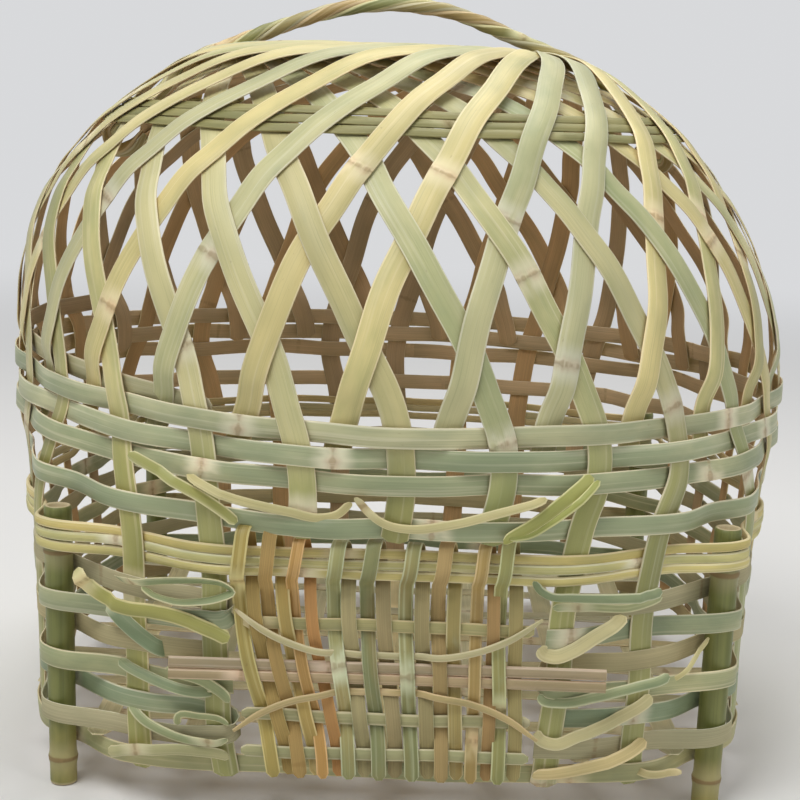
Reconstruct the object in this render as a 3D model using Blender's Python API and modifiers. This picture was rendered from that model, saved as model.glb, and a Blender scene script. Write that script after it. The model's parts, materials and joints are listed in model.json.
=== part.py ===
"""A woven bamboo chicken cage.

Twenty-eight long splints cross over a dome and lie round a hole at its top.
One end of each splint runs on down the wall as a stake, and its other end is
tucked behind the shoulder bands. Bands and weavers pass over and under the
stakes and four corner posts. A door of hairpin splints hangs on a header rail
and swings outwards, and a flat bar slides through it. Two twisted strands
hooked under the top hoop make the handle.

Metres. The origin is on the floor under the middle, the door faces -Y, +Z is up.
"""

import bmesh
import bpy
from math import acos, atan2, ceil, cos, degrees, log2, pi, radians, sin, sqrt, tan
from mathutils import Vector

# Size of the basket
SHOULDER_RADIUS = 0.280
SHOULDER_HEIGHT = 0.2585
DOME_HEIGHT = 0.240
DOME_ROUNDNESS = 2.25
FLOOR_HALF_WIDTH = 0.245
POST_PLACE = 0.206
CORNER_FADE_HEIGHT = 0.200
WALL_BULGE = 1.5
STAKE_SETTLE_HEIGHT = 0.165
STAKE_FOOT_HEIGHT = 0.016

# Splints of the dome and the wall
SPLINT_COUNT = 28
SPLINT_WIDTH = 0.017
SPLINT_THICKNESS = 0.0010
CLEARANCE = 0.00035
WEAVE_CLEARANCE = 0.0005
BEND_EXTRA = 0.0010
TOP_CIRCLE_ANGLE = radians(20.0)
HALF_SPAN_STEPS = 13.5
PILE_STEP = 0.0016
CROSSING_LIFT = 0.0010
TUCK_DEPTH = 0.0042
TUCK_END_HEIGHT = 0.236

# Corner posts
POST_RADIUS = 0.009
POST_HEIGHT = 0.188
POST_NODE_SWELL = 0.0010
POST_NODE_HALF_HEIGHT = 0.003
POST_LOW_NODE_HEIGHT = 0.018
POST_HIGH_NODE_HEIGHT = 0.1580
POST_EDGE = 0.001
POST_SIDES = 10

# Bands of the shoulder, from the top down
BAND_THICKNESS = 0.0011
BAND_CLEARANCE = 0.0010
BAND_WIDTH = 0.013
BAND_A_HEIGHT = 0.2545
BAND_B_HEIGHT = 0.2400
BAND_C_HEIGHT = 0.2250
BAND_D_HEIGHT = 0.1968
BAND_FLAT_HALF = 0.0130

# Header rail over the doorway
RAIL_HEIGHT = 0.1720
RAIL_WIDTH = 0.020
RAIL_THICKNESS = 0.003

# Weavers of the wall, each one splint that makes two rows
RAIL_ROW_GAP = 0.0085
WEAVER_PITCH = 0.0190
WEAVER_WIDTH = 0.013
WEAVER_TOP_HEIGHT = RAIL_HEIGHT - RAIL_WIDTH / 2 - RAIL_ROW_GAP - WEAVER_WIDTH / 2
WEAVER_THICKNESS = 0.0011
WEAVER_FLAT_HALF = 0.0105

# Hoop near the top, one splint wound round
HOOP_HEIGHT_SHARE = 0.7521
HOOP_HEIGHT = SHOULDER_HEIGHT + DOME_HEIGHT * HOOP_HEIGHT_SHARE
HOOP_TURNS = 3
HOOP_WIDTH = 0.0074
HOOP_PITCH = 0.0086
HOOP_THICKNESS = 0.0014
HOOP_LIFT = 0.0026
HOOP_STEPS_PER_TURN = 36

# Floor mat
MAT_SLATS = 7
MAT_SLAT_WIDTH = 0.016
MAT_SLAT_PITCH = 0.0620
MAT_THICKNESS = 0.0022
MAT_EDGE_GAP = 0.0010

# Door
DOOR_LOOPS = 9
WARP_PITCH = 0.0098
WARP_WIDTH = 0.0080
WARP_THICKNESS = 0.0010
WARP_LIFT = 0.0027
DOOR_FOOT_HEIGHT = 0.034
WEFT_1_HEIGHT = 0.1330
WEFT_2_HEIGHT = 0.0735
WEFT_3_HEIGHT = 0.0500
WEFT_WIDTH = 0.008
WEFT_THICKNESS = 0.0011
DOOR_HALF_WIDTH = 0.0895
BOW_WIDTH = 0.0045
BOW_THICKNESS = 0.0011
BOW_UPPER_MIDDLE_HEIGHT = 0.1142
BOW_UPPER_END_HEIGHT = 0.1420
BOW_LOWER_MIDDLE_HEIGHT = 0.0908
BOW_LOWER_END_HEIGHT = 0.0640
BOW_HALF_LENGTH = 0.0940
BOW_FRONT_LIFT = 0.0046
BOW_WEAVE_LIFT = 0.0004

# Bar
BAR_LENGTH_SHARE = 0.9643
BAR_LENGTH = SHOULDER_RADIUS * BAR_LENGTH_SHARE
BAR_WIDTH = 0.015
BAR_THICKNESS = 0.0034
BAR_HEIGHT = 0.1025
BAR_EDGE = 0.0006

# Handle
STRAND_RADIUS = 0.0027
STRAND_GAP = 0.0006
TWIST_PITCH = 0.140
HOOK_RADIUS = 0.0095
HOOK_BELOW_HOOP = 0.0153
HOOK_TAIL = 0.016
HANDLE_KNEE_SHARE = 0.5714
HANDLE_BEND_SHARE = 0.3071
HANDLE_KNEE_BELOW_TOP = 0.0205
HANDLE_BEND_ABOVE_TOP = 0.0085
HANDLE_APEX_ABOVE_TOP = 0.0205
STRAND_STEP = 0.014

# Small step for measuring a direction on a surface
NUDGE = 0.0001

UP = Vector((0, 0, 1))
FRONT = -pi / 2
STEP = pi / SPLINT_COUNT
WALL_PLACE_COUNT = 32
WALL_STEP = 2 * pi / WALL_PLACE_COUNT
POST_PLACES = (4, 12, 20, 28)
JAMB_STEPS = 2


# Surfaces of the basket
def polar(azimuth, radius, height):
    return Vector((radius * cos(azimuth), radius * sin(azimuth), height))


def dome_point(azimuth, angle, lift=0):
    """A point at an angle from the top, lifted off the dome along its normal."""
    power = 2 / DOME_ROUNDNESS
    radial_share = max(sin(angle), 0) ** power
    rise_share = max(cos(angle), 0) ** power
    point = polar(azimuth, SHOULDER_RADIUS * radial_share, SHOULDER_HEIGHT + DOME_HEIGHT * rise_share)
    return point + dome_normal(azimuth, angle) * lift


def dome_normal(azimuth, angle):
    power = 2 / DOME_ROUNDNESS
    slope = DOME_ROUNDNESS - 1
    outward = max(sin(angle), 0) ** (power * slope) / SHOULDER_RADIUS
    upward = max(cos(angle), 0) ** (power * slope) / DOME_HEIGHT
    return polar(azimuth, outward, upward).normalized()


def wall_radius(azimuth, height):
    """The plan is a rounded square at the floor and a circle at the shoulder."""
    share = min(max(height / SHOULDER_HEIGHT, 0), 1)
    half = SHOULDER_RADIUS - (SHOULDER_RADIUS - FLOOR_HALF_WIDTH) * (1 - share) ** WALL_BULGE
    fade = (height - CORNER_FADE_HEIGHT) / (SHOULDER_HEIGHT - CORNER_FADE_HEIGHT)
    fade = min(max(fade, 0), 1)
    fade = fade * fade * (3 - 2 * fade)
    post_radius = POST_PLACE * sqrt(2)
    corner = post_radius + (SHOULDER_RADIUS - post_radius) * fade
    inverse = 0.5 - log2(max(corner / half, 1))
    power = 1 / inverse
    return half / (abs(cos(azimuth)) ** power + abs(sin(azimuth)) ** power) ** inverse


def wall_point(azimuth, height):
    return polar(azimuth, wall_radius(azimuth, height), height)


def wall_normal(azimuth, height):
    turn = NUDGE / SHOULDER_RADIUS
    along = wall_point(azimuth + turn, height) - wall_point(azimuth - turn, height)
    rise = wall_point(azimuth, height + NUDGE) - wall_point(azimuth, height - NUDGE)
    return along.cross(rise).normalized()


# Collections and materials
def new_collection(name):
    collection = bpy.data.collections.new(name)
    bpy.context.scene.collection.children.link(collection)
    return collection


def bamboo(name, colour, roughness):
    material = bpy.data.materials.new(name)
    material.use_nodes = True
    shader = material.node_tree.nodes["Principled BSDF"]
    shader.inputs["Base Color"].default_value = (*colour, 1)
    shader.inputs["Roughness"].default_value = roughness
    shader.inputs["Metallic"].default_value = 0
    material.diffuse_color = (*colour, 1)
    return material


for old in list(bpy.data.objects):
    bpy.data.objects.remove(old, do_unlink=True)

CAGE = new_collection("bamboo_chicken_cage")

DOME_LOOKS = [
    bamboo("dome_splint_green", (0.44, 0.50, 0.27), 0.50),
    bamboo("dome_splint_pale", (0.55, 0.58, 0.36), 0.52),
    bamboo("dome_splint_yellow", (0.52, 0.50, 0.25), 0.50),
    bamboo("dome_splint_grey", (0.40, 0.47, 0.31), 0.55),
]
POST_LOOK = bamboo("post_olive", (0.30, 0.33, 0.12), 0.42)
BAND_LOOK = bamboo("band_blue_green", (0.35, 0.43, 0.32), 0.52)
RAIL_LOOK = bamboo("rail_green_brown", (0.42, 0.43, 0.24), 0.55)
WEAVER_LOOK = bamboo("weaver_green", (0.40, 0.46, 0.28), 0.55)
HOOP_LOOK = bamboo("hoop_pale", (0.60, 0.58, 0.36), 0.50)
MAT_LOOK = bamboo("mat_brown", (0.47, 0.38, 0.24), 0.65)
WARP_LOOKS = [
    bamboo("warp_yellow", (0.58, 0.49, 0.20), 0.50),
    bamboo("warp_green", (0.41, 0.45, 0.28), 0.52),
    bamboo("warp_tan", (0.55, 0.48, 0.27), 0.52),
]
WEFT_LOOK = bamboo("weft_green", (0.42, 0.44, 0.28), 0.55)
BOW_LOOK = bamboo("bow_tan", (0.52, 0.44, 0.28), 0.50)
BAR_LOOK = bamboo("bar_tan", (0.50, 0.37, 0.25), 0.50)
HANDLE_LOOK = bamboo("handle_tan", (0.58, 0.49, 0.27), 0.48)


# A splint is a flat grid laid along its path and given its thickness
def splint(name, stations, width, thickness, material, closed=False, parent=None):
    """Each station is the middle of the splint there and the direction across it."""
    count = len(stations)
    mesh = bpy.data.meshes.new(name)
    grid = bmesh.new()
    rows = count if closed else count - 1
    bmesh.ops.create_grid(grid, x_segments=rows, y_segments=1, size=1)
    for vertex in grid.verts:
        row = round((vertex.co.x + 1) / 2 * rows)
        side = 1 if vertex.co.y > 0 else -1
        middle, across = stations[row % count]
        vertex.co = middle + across * (side * width / 2)
    if closed:
        bmesh.ops.remove_doubles(grid, verts=grid.verts, dist=NUDGE)
    grid.to_mesh(mesh)
    grid.free()
    mesh.materials.append(material)
    body = bpy.data.objects.new(name, mesh)
    CAGE.objects.link(body)
    solid = body.modifiers.new("thickness", "SOLIDIFY")
    solid.thickness = thickness
    solid.offset = 0
    if parent:
        seat_on(body, parent)
    return body


def seat_on(body, parent):
    """Hang a body on an empty with its origin on the empty's own place."""
    body.data.transform(parent.matrix_world.inverted())
    body.parent = parent


def empty_at(name, place):
    empty = bpy.data.objects.new(name, None)
    empty.location = place
    CAGE.objects.link(empty)
    bpy.context.view_layer.update()
    return empty


def across_path(points, normals):
    """Stations whose splint lies flat to the normals."""
    stations = []
    last = len(points) - 1
    for index, point in enumerate(points):
        along = points[min(index + 1, last)] - points[max(index - 1, 0)]
        stations.append((point, normals[index].cross(along).normalized()))
    return stations


# Dome splints
def splint_reach(steps):
    """How far along its great circle a splint is from its middle, as an angle."""
    swing = radians(90.0) * steps / HALF_SPAN_STEPS
    return atan2(tan(swing) * sin(TOP_CIRCLE_ANGLE), 1)


def splint_arc(steps):
    """Azimuth from the middle of a splint and angle from the top, at a number of steps."""
    if abs(steps) >= HALF_SPAN_STEPS:
        return steps * STEP, radians(90.0)
    return steps * STEP, acos(cos(TOP_CIRCLE_ANGLE) * cos(splint_reach(steps)))


# Steps along half a splint, and how far it is lifted there on its upper side.
# Whole steps are crossings. The hoop lies between steps 9 and 10.5.
PILE_REACH = splint_reach(1)
ARC_LIFTS = [
    (1, PILE_STEP / 2),
    (3, PILE_STEP / 2 * splint_reach(3) / PILE_REACH),
    (5, PILE_STEP / 2 * splint_reach(5) / PILE_REACH),
    (7, PILE_STEP / 2 * splint_reach(7) / PILE_REACH),
    (9, HOOP_LIFT + CROSSING_LIFT),
    (10, HOOP_LIFT),
    (10.5, HOOP_LIFT),
    (11, CROSSING_LIFT),
    (11.35, CROSSING_LIFT),
    (11.75, -CROSSING_LIFT),
    (12, -CROSSING_LIFT),
    (12.25, -CROSSING_LIFT),
    (12.75, CROSSING_LIFT),
    (13, CROSSING_LIFT),
    (13.25, CROSSING_LIFT),
]
TUCK_STEPS = 13.43

SILL_HEIGHT = WEAVER_TOP_HEIGHT - 6 * WEAVER_PITCH
MAT_HEIGHT = SILL_HEIGHT + WEAVER_WIDTH / 2 + 2 * CLEARANCE + MAT_THICKNESS / 2
STAKE_LEVELS = [
    BAND_A_HEIGHT,
    BAND_C_HEIGHT,
    BAND_D_HEIGHT,
    WEAVER_TOP_HEIGHT,
    WEAVER_TOP_HEIGHT - 3 * WEAVER_PITCH,
    MAT_HEIGHT,
    STAKE_FOOT_HEIGHT,
]
FRONT_STAKE_FOOT = BAND_D_HEIGHT - BAND_WIDTH / 2 - CLEARANCE * 5


def wall_place_of(index):
    """The wall's places run right from the front, and the posts take four of them."""
    place = 0
    for _ in range(index):
        place += 1
        if place in POST_PLACES:
            place += 1
    return place


def shoulder_azimuth(index):
    return FRONT + 2 * index * STEP


def stake_azimuth(index, height):
    """A stake leans at the shoulder and stands at its place in the wall below it."""
    start = shoulder_azimuth(index)
    end = FRONT + wall_place_of(index) * WALL_STEP
    share = min(max((SHOULDER_HEIGHT - height) / (SHOULDER_HEIGHT - STAKE_SETTLE_HEIGHT), 0), 1)
    smooth = share * share * (3 - 2 * share)
    return start + (end - start) * smooth + lean_drift(height)


def lean_drift(height):
    """How far a leaning splint has gone round below the shoulder before it stands upright."""
    span = SHOULDER_HEIGHT - STAKE_SETTLE_HEIGHT
    share = min(max((SHOULDER_HEIGHT - height) / span, 0), 1)
    return share * (1 - share) ** 2 * SHOULDER_LEAN * span


def measured_lean():
    """Azimuth gained per metre of height lost, just above the shoulder."""
    near_steps, near_angle = splint_arc(HALF_SPAN_STEPS - 0.5)
    fall = dome_point(0, near_angle).z - SHOULDER_HEIGHT
    return 0.5 * STEP / fall


SHOULDER_LEAN = measured_lean()


def stake_points(index):
    front = wall_place_of(index) in (0, 1, WALL_PLACE_COUNT - 1)
    levels = [z for z in STAKE_LEVELS if z > FRONT_STAKE_FOOT] + [FRONT_STAKE_FOOT] if front else STAKE_LEVELS
    points = []
    for height in levels:
        azimuth = stake_azimuth(index, height)
        points.append((wall_point(azimuth, height), wall_normal(azimuth, height)))
    return points


STAKES = [stake_points(index) for index in range(SPLINT_COUNT)]


def on_stake(index, height):
    """The middle of a stake's face and its normal, at a height between two stations."""
    line = STAKES[index]
    for (high, high_normal), (low, low_normal) in zip(line, line[1:]):
        if height >= low.z or low is line[-1][0]:
            share = (high.z - height) / (high.z - low.z)
            return high.lerp(low, share), high_normal.lerp(low_normal, share).normalized()
    return line[0]


def dome_splint(index):
    """From the tucked end up over the dome and down to the stake's foot."""
    middle = shoulder_azimuth(index) - HALF_SPAN_STEPS * STEP
    points = []
    normals = []

    def add(steps, lift):
        swing, angle = splint_arc(steps)
        points.append(dome_point(middle + swing, angle, lift))
        normals.append(dome_normal(middle + swing, angle))

    tuck_azimuth = middle - HALF_SPAN_STEPS * STEP
    for height in (TUCK_END_HEIGHT, BAND_A_HEIGHT):
        azimuth = tuck_azimuth - lean_drift(height)
        normal = wall_normal(azimuth, height)
        points.append(wall_point(azimuth, height) - normal * TUCK_DEPTH)
        normals.append(normal)
    add(-TUCK_STEPS, -TUCK_DEPTH)
    for steps, lift in reversed(ARC_LIFTS):
        add(-steps, lift)
    for steps, lift in ARC_LIFTS:
        add(steps, -lift)
    add(TUCK_STEPS, 0)
    for point, normal in STAKES[index]:
        points.append(point)
        normals.append(normal)
    look = DOME_LOOKS[(index * 5 + index // 3) % len(DOME_LOOKS)]
    name = f"dome_strip_{index + 1:02d}"
    return splint(name, across_path(points, normals), SPLINT_WIDTH, SPLINT_THICKNESS, look)


# Corner posts, turned from half a profile
def corner_post(name, x, y):
    outline = [
        (0, 0),
        (POST_RADIUS - POST_EDGE, 0),
        (POST_RADIUS, POST_EDGE),
        (POST_RADIUS, POST_LOW_NODE_HEIGHT - POST_NODE_HALF_HEIGHT),
        (POST_RADIUS + POST_NODE_SWELL, POST_LOW_NODE_HEIGHT),
        (POST_RADIUS, POST_LOW_NODE_HEIGHT + POST_NODE_HALF_HEIGHT),
        (POST_RADIUS, POST_HIGH_NODE_HEIGHT - POST_NODE_HALF_HEIGHT),
        (POST_RADIUS + POST_NODE_SWELL, POST_HIGH_NODE_HEIGHT),
        (POST_RADIUS, POST_HIGH_NODE_HEIGHT + POST_NODE_HALF_HEIGHT),
        (POST_RADIUS, POST_HEIGHT - POST_EDGE),
        (POST_RADIUS - POST_EDGE, POST_HEIGHT),
        (0, POST_HEIGHT),
    ]
    mesh = bpy.data.meshes.new(name)
    profile = bmesh.new()
    corners = [profile.verts.new((radius, 0, height)) for radius, height in reversed(outline)]
    for upper, lower in zip(corners, corners[1:]):
        profile.edges.new((upper, lower))
    profile.to_mesh(mesh)
    profile.free()
    mesh.materials.append(POST_LOOK)
    body = bpy.data.objects.new(name, mesh)
    body.location = (x, y, 0)
    CAGE.objects.link(body)
    turn = body.modifiers.new("turned", "SCREW")
    turn.steps = POST_SIDES
    turn.render_steps = POST_SIDES
    turn.use_merge_vertices = True
    turn.merge_threshold = 0.00001
    turn.use_smooth_shade = True
    return body


# Rings that pass over and under
def level_tangent(normal):
    return UP.cross(normal).normalized()


def pass_over(point, normal, lift, half, outside):
    """Stations of a ring at one stake or post: flat against it, or one bend inside it."""
    along = level_tangent(normal)
    up = normal.cross(along)
    face = lift if outside else -lift
    if half:
        return [(point - along * half + normal * face, up), (point + along * half + normal * face, up)]
    return [(point + normal * face, up)]


def place_geometry(place, height):
    """The middle and normal of the stake or post at a place of the wall."""
    if place in POST_PLACES:
        azimuth = FRONT + place * WALL_STEP
        out = polar(azimuth, 1, 0)
        return out * (POST_PLACE * sqrt(2)) + UP * height, out
    return on_stake(STAKE_AT_PLACE[place], height)


STAKE_AT_PLACE = {wall_place_of(index): index for index in range(SPLINT_COUNT)}


def ring_pass(place, height, thickness, flat_half, outside):
    point, normal = place_geometry(place, height)
    if place in POST_PLACES:
        wrap = radians(15.0)
        reach = (POST_RADIUS + thickness / 2 + CLEARANCE * 2) / cos(wrap)
        if outside:
            return pass_over(point, normal, reach * cos(wrap), reach * sin(wrap), True)
        return pass_over(point, normal, reach, 0, False)
    lift = (SPLINT_THICKNESS + thickness) / 2 + WEAVE_CLEARANCE
    beside_post = place - 1 in POST_PLACES or place + 1 in POST_PLACES
    if outside or beside_post:
        return pass_over(point, normal, lift, flat_half, outside)
    return pass_over(point, normal, lift + BEND_EXTRA, 0, outside)


def shoulder_band(name, height, odd):
    stations = []
    for index in range(SPLINT_COUNT):
        point, normal = on_stake(index, height)
        outside = index % 2 == odd
        lift = (SPLINT_THICKNESS + BAND_THICKNESS) / 2 + BAND_CLEARANCE
        if not outside:
            lift += BEND_EXTRA
        stations += pass_over(point, normal, lift, BAND_FLAT_HALF if outside else 0, outside)
    return splint(name, stations, BAND_WIDTH, BAND_THICKNESS, BAND_LOOK, closed=True)


def wall_ring(name, height, width, thickness, flat_half, odd, material, open_front):
    """A closed ring at one height; where the front is open it runs straight past the doorway."""
    stations = []
    for place in range(WALL_PLACE_COUNT):
        in_doorway = min(place, WALL_PLACE_COUNT - place) < JAMB_STEPS
        if open_front and in_doorway:
            continue
        stations += ring_pass(place, height, thickness, flat_half, place % 2 == odd)
    return splint(name, stations, width, thickness, material, closed=True)


def double_weaver(name, upper_height, odd, turns_right):
    """One splint from a jamb round the wall, folded about the other jamb and back a row lower."""
    lower_height = upper_height - WEAVER_PITCH
    first = JAMB_STEPS
    last = WALL_PLACE_COUNT - JAMB_STEPS
    around = list(range(first, last + 1))
    if turns_right:
        around.reverse()
    direction = -1 if turns_right else 1
    fold_place = around[-1]
    stations = []

    def run(places, height, parity, way):
        found = []
        for place in places:
            group = ring_pass(place, height, WEAVER_THICKNESS, WEAVER_FLAT_HALF, place % 2 == parity)
            found += group if way > 0 else list(reversed(group))
        return found

    stations += run(around[:-1], upper_height, odd, direction)
    lift = (SPLINT_THICKNESS + WEAVER_THICKNESS) / 2 + WEAVE_CLEARANCE
    edge = SPLINT_WIDTH / 2 + CLEARANCE * 1.2
    beyond = edge + CLEARANCE * 3
    outside_first = fold_place % 2 == odd
    sign = 1 if outside_first else -1
    fold = [
        (-edge, sign, 0.12),
        (edge, sign, 0.38),
        (beyond, 0, 0.50),
        (edge, -sign, 0.62),
        (-edge, -sign, 0.88),
    ]
    for along_edge, face, fall_share in fold:
        height = upper_height - WEAVER_PITCH * fall_share
        point, normal = place_geometry(fold_place, height)
        along = level_tangent(normal)
        place_point = point + along * (direction * along_edge) + normal * (face * lift)
        stations.append((place_point, normal.cross(along)))
    stations += run(list(reversed(around[:-1])), lower_height, 1 - odd, -direction)
    return splint(name, stations, WEAVER_WIDTH, WEAVER_THICKNESS, WEAVER_LOOK)


# Hoop
def dome_angle_at(height):
    share = (height - SHOULDER_HEIGHT) / DOME_HEIGHT
    return acos(share ** (DOME_ROUNDNESS / 2))


def meridian_rate(angle):
    """Length along the dome per unit of angle from the top."""
    small = NUDGE / SHOULDER_RADIUS
    return (dome_point(0, angle + small) - dome_point(0, angle - small)).length / (2 * small)


def top_hoop():
    points = []
    normals = []
    total = HOOP_TURNS * HOOP_STEPS_PER_TURN
    middle = dome_angle_at(HOOP_HEIGHT)
    rate = HOOP_PITCH / meridian_rate(middle)
    for count in range(total + 1):
        turns = count / HOOP_STEPS_PER_TURN
        azimuth = 2 * pi * turns
        angle = middle + (turns - HOOP_TURNS / 2) * rate
        points.append(dome_point(azimuth, angle))
        normals.append(dome_normal(azimuth, angle))
    least = min(
        (points[count + HOOP_STEPS_PER_TURN] - points[count]).length - HOOP_WIDTH
        for count in range(total + 1 - HOOP_STEPS_PER_TURN)
    )
    print(f"top_hoop: least gap between its turns {least * 1000:.2f} mm")
    stations = across_path(points, normals)
    return splint("top_hoop", stations, HOOP_WIDTH, HOOP_THICKNESS, HOOP_LOOK)


# Floor mat, a grid of slats whose ends reach the wall
def floor_mat(height):
    lines = []
    for slat in range(MAT_SLATS):
        centre = (slat - (MAT_SLATS - 1) / 2) * MAT_SLAT_PITCH
        lines += [centre - MAT_SLAT_WIDTH / 2, centre + MAT_SLAT_WIDTH / 2]
    lines = [-FLOOR_HALF_WIDTH] + lines + [FLOOR_HALF_WIDTH]
    cells = len(lines) - 1
    grid = bmesh.new()
    bmesh.ops.create_grid(grid, x_segments=cells, y_segments=cells, size=1)
    spots = {}
    for vertex in grid.verts:
        column = round((vertex.co.x + 1) / 2 * cells)
        row = round((vertex.co.y + 1) / 2 * cells)
        spots[vertex] = (column, row)
    holes = []
    for face in grid.faces:
        column = min(spots[vertex][0] for vertex in face.verts)
        row = min(spots[vertex][1] for vertex in face.verts)
        if column % 2 == 0 and row % 2 == 0:
            holes.append(face)
    for vertex, (column, row) in spots.items():
        x, y = lines[column], lines[row]
        if column in (0, cells):
            x = (1 if column else -1) * edge_reach(y, height)
        elif row in (0, cells):
            y = (1 if row else -1) * edge_reach(x, height)
        vertex.co = (x, y, height)
    bmesh.ops.delete(grid, geom=holes, context="FACES")
    loose = [vertex for vertex in grid.verts if not vertex.link_faces]
    bmesh.ops.delete(grid, geom=loose, context="VERTS")
    mesh = bpy.data.meshes.new("floor_mat")
    grid.to_mesh(mesh)
    grid.free()
    mesh.materials.append(MAT_LOOK)
    body = bpy.data.objects.new("floor_mat", mesh)
    CAGE.objects.link(body)
    solid = body.modifiers.new("thickness", "SOLIDIFY")
    solid.thickness = MAT_THICKNESS
    solid.offset = 0
    return body


def edge_reach(along, height):
    """How far the mat reaches beside a line across it, short of the stakes' inner faces."""
    reach = FLOOR_HALF_WIDTH
    for _ in range(12):
        azimuth = atan2(abs(along), reach)
        reach = (wall_radius(azimuth, height) - MAT_EDGE_GAP) * cos(azimuth)
    return reach


# Door
def hinge_place():
    """The middle of the straight stretch of the header rail."""
    seat = ring_pass(JAMB_STEPS, RAIL_HEIGHT, RAIL_THICKNESS, WEAVER_FLAT_HALF, True)[0][0]
    return Vector((0, seat.y, seat.z))


def door_strip(index, hinge, parent):
    """A hairpin: up the front leg, round the rail, and down the back leg beside it."""
    parts = 10
    start = radians(-60.0)
    finish = radians(240.0)
    rail_reach = sqrt((RAIL_WIDTH / 2) ** 2 + (RAIL_THICKNESS / 2) ** 2)
    loop_radius = (rail_reach + CLEARANCE + WARP_THICKNESS / 2) / cos((finish - start) / parts / 2)
    front_x = (2 * index - DOOR_LOOPS + 0.5) * WARP_PITCH
    back_x = front_x + WARP_PITCH
    neck_drop = loop_radius + CLEARANCE * 4
    bar_flat = BAR_WIDTH / 2 + CLEARANCE * 2

    def leg(x, face):
        rows = [
            (DOOR_FOOT_HEIGHT, face),
            (WEFT_3_HEIGHT, face),
            (WEFT_2_HEIGHT, -face),
            (BAR_HEIGHT - bar_flat, face),
            (BAR_HEIGHT + bar_flat, face),
            (WEFT_1_HEIGHT, -face),
            (hinge.z - neck_drop, face),
        ]
        return [(Vector((x, hinge.y - side * WARP_LIFT, z))) for z, side in rows]

    loop = []
    for count in range(parts + 1):
        turn = start + (finish - start) * count / parts
        share = count / parts
        x = front_x + (back_x - front_x) * share
        loop.append(Vector((x, hinge.y - loop_radius * cos(turn), hinge.z + loop_radius * sin(turn))))
    points = leg(front_x, 1) + loop + list(reversed(leg(back_x, -1)))
    stations = [(point, Vector((1, 0, 0))) for point in points]
    look = WARP_LOOKS[0 if index < 3 else 1 if index < 6 else 2]
    return splint(f"door_strip_{index + 1}", stations, WARP_WIDTH, WARP_THICKNESS, look, parent=parent)


def straight_weft(name, height, hinge, parent):
    ends = [-DOOR_HALF_WIDTH, DOOR_HALF_WIDTH]
    stations = [(Vector((x, hinge.y, height)), UP) for x in ends]
    return splint(name, stations, WEFT_WIDTH, WEFT_THICKNESS, WEFT_LOOK, parent=parent)


def bow(name, middle_height, end_height, hinge, parent):
    """A springy splint in front of the door, tucked behind the three middle loops."""
    places = []
    tucked = (DOOR_LOOPS - 3) // 2
    for index in range(tucked, DOOR_LOOPS - tucked):
        front_x = (2 * index - DOOR_LOOPS + 0.5) * WARP_PITCH
        places.append((front_x, -BOW_WEAVE_LIFT))
        if index < DOOR_LOOPS - tucked - 1:
            places.append((front_x + WARP_PITCH, BOW_WEAVE_LIFT))
    edge = WARP_WIDTH / 2 + CLEARANCE
    left = places[0][0] - 2 * WARP_PITCH + edge
    right = places[-1][0] + 2 * WARP_PITCH - edge
    places.insert(0, (places[0][0] - edge, -BOW_WEAVE_LIFT))
    places.append((places[-1][0] + edge, -BOW_WEAVE_LIFT))
    for share in (0.0, 0.35, 0.7, 1.0):
        places.insert(0, (left - (BOW_HALF_LENGTH + left) * share, BOW_FRONT_LIFT))
        places.append((right + (BOW_HALF_LENGTH - right) * share, BOW_FRONT_LIFT))
    stations = []
    for x, lift in places:
        share = abs(x / BOW_HALF_LENGTH) ** 3
        height = middle_height + (end_height - middle_height) * share
        stations.append((Vector((x, hinge.y - lift, height)), UP))
    return splint(name, stations, BOW_WIDTH, BOW_THICKNESS, BOW_LOOK, parent=parent)


def lock_bar(hinge):
    bpy.ops.mesh.primitive_cube_add(size=1, location=(0, hinge.y, BAR_HEIGHT))
    body = bpy.context.active_object
    body.name = "lock_bar"
    body.data.name = "lock_bar"
    for vertex in body.data.vertices:
        vertex.co.x *= BAR_LENGTH
        vertex.co.y *= BAR_THICKNESS
        vertex.co.z *= BAR_WIDTH
    for holder in list(body.users_collection):
        holder.objects.unlink(body)
    CAGE.objects.link(body)
    body.data.materials.append(BAR_LOOK)
    edge = body.modifiers.new("edge", "BEVEL")
    edge.width = BAR_EDGE
    edge.segments = 1
    return body


# Handle
def handle_route():
    """Half of the handle's middle line as distance out and height, from a hook's end to the apex."""
    middle = dome_angle_at(HOOP_HEIGHT)
    low = middle + HOOK_BELOW_HOOP / meridian_rate(middle)
    rim = dome_point(0, low)
    normal = dome_normal(0, low)
    down = Vector((normal.z, 0, -normal.x))
    route = [rim - normal * HOOK_RADIUS - down * HOOK_TAIL]
    for turn in (0, 30, 60, 90, 120, 150, 180):
        angle = radians(turn)
        route.append(rim - normal * (HOOK_RADIUS * cos(angle)) + down * (HOOK_RADIUS * sin(angle)))
    top = SHOULDER_HEIGHT + DOME_HEIGHT
    route.append(Vector((SHOULDER_RADIUS * HANDLE_KNEE_SHARE, 0, top - HANDLE_KNEE_BELOW_TOP)))
    route.append(Vector((SHOULDER_RADIUS * HANDLE_BEND_SHARE, 0, top + HANDLE_BEND_ABOVE_TOP)))
    route.append(Vector((0, 0, top + HANDLE_APEX_ABOVE_TOP)))
    return route


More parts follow.
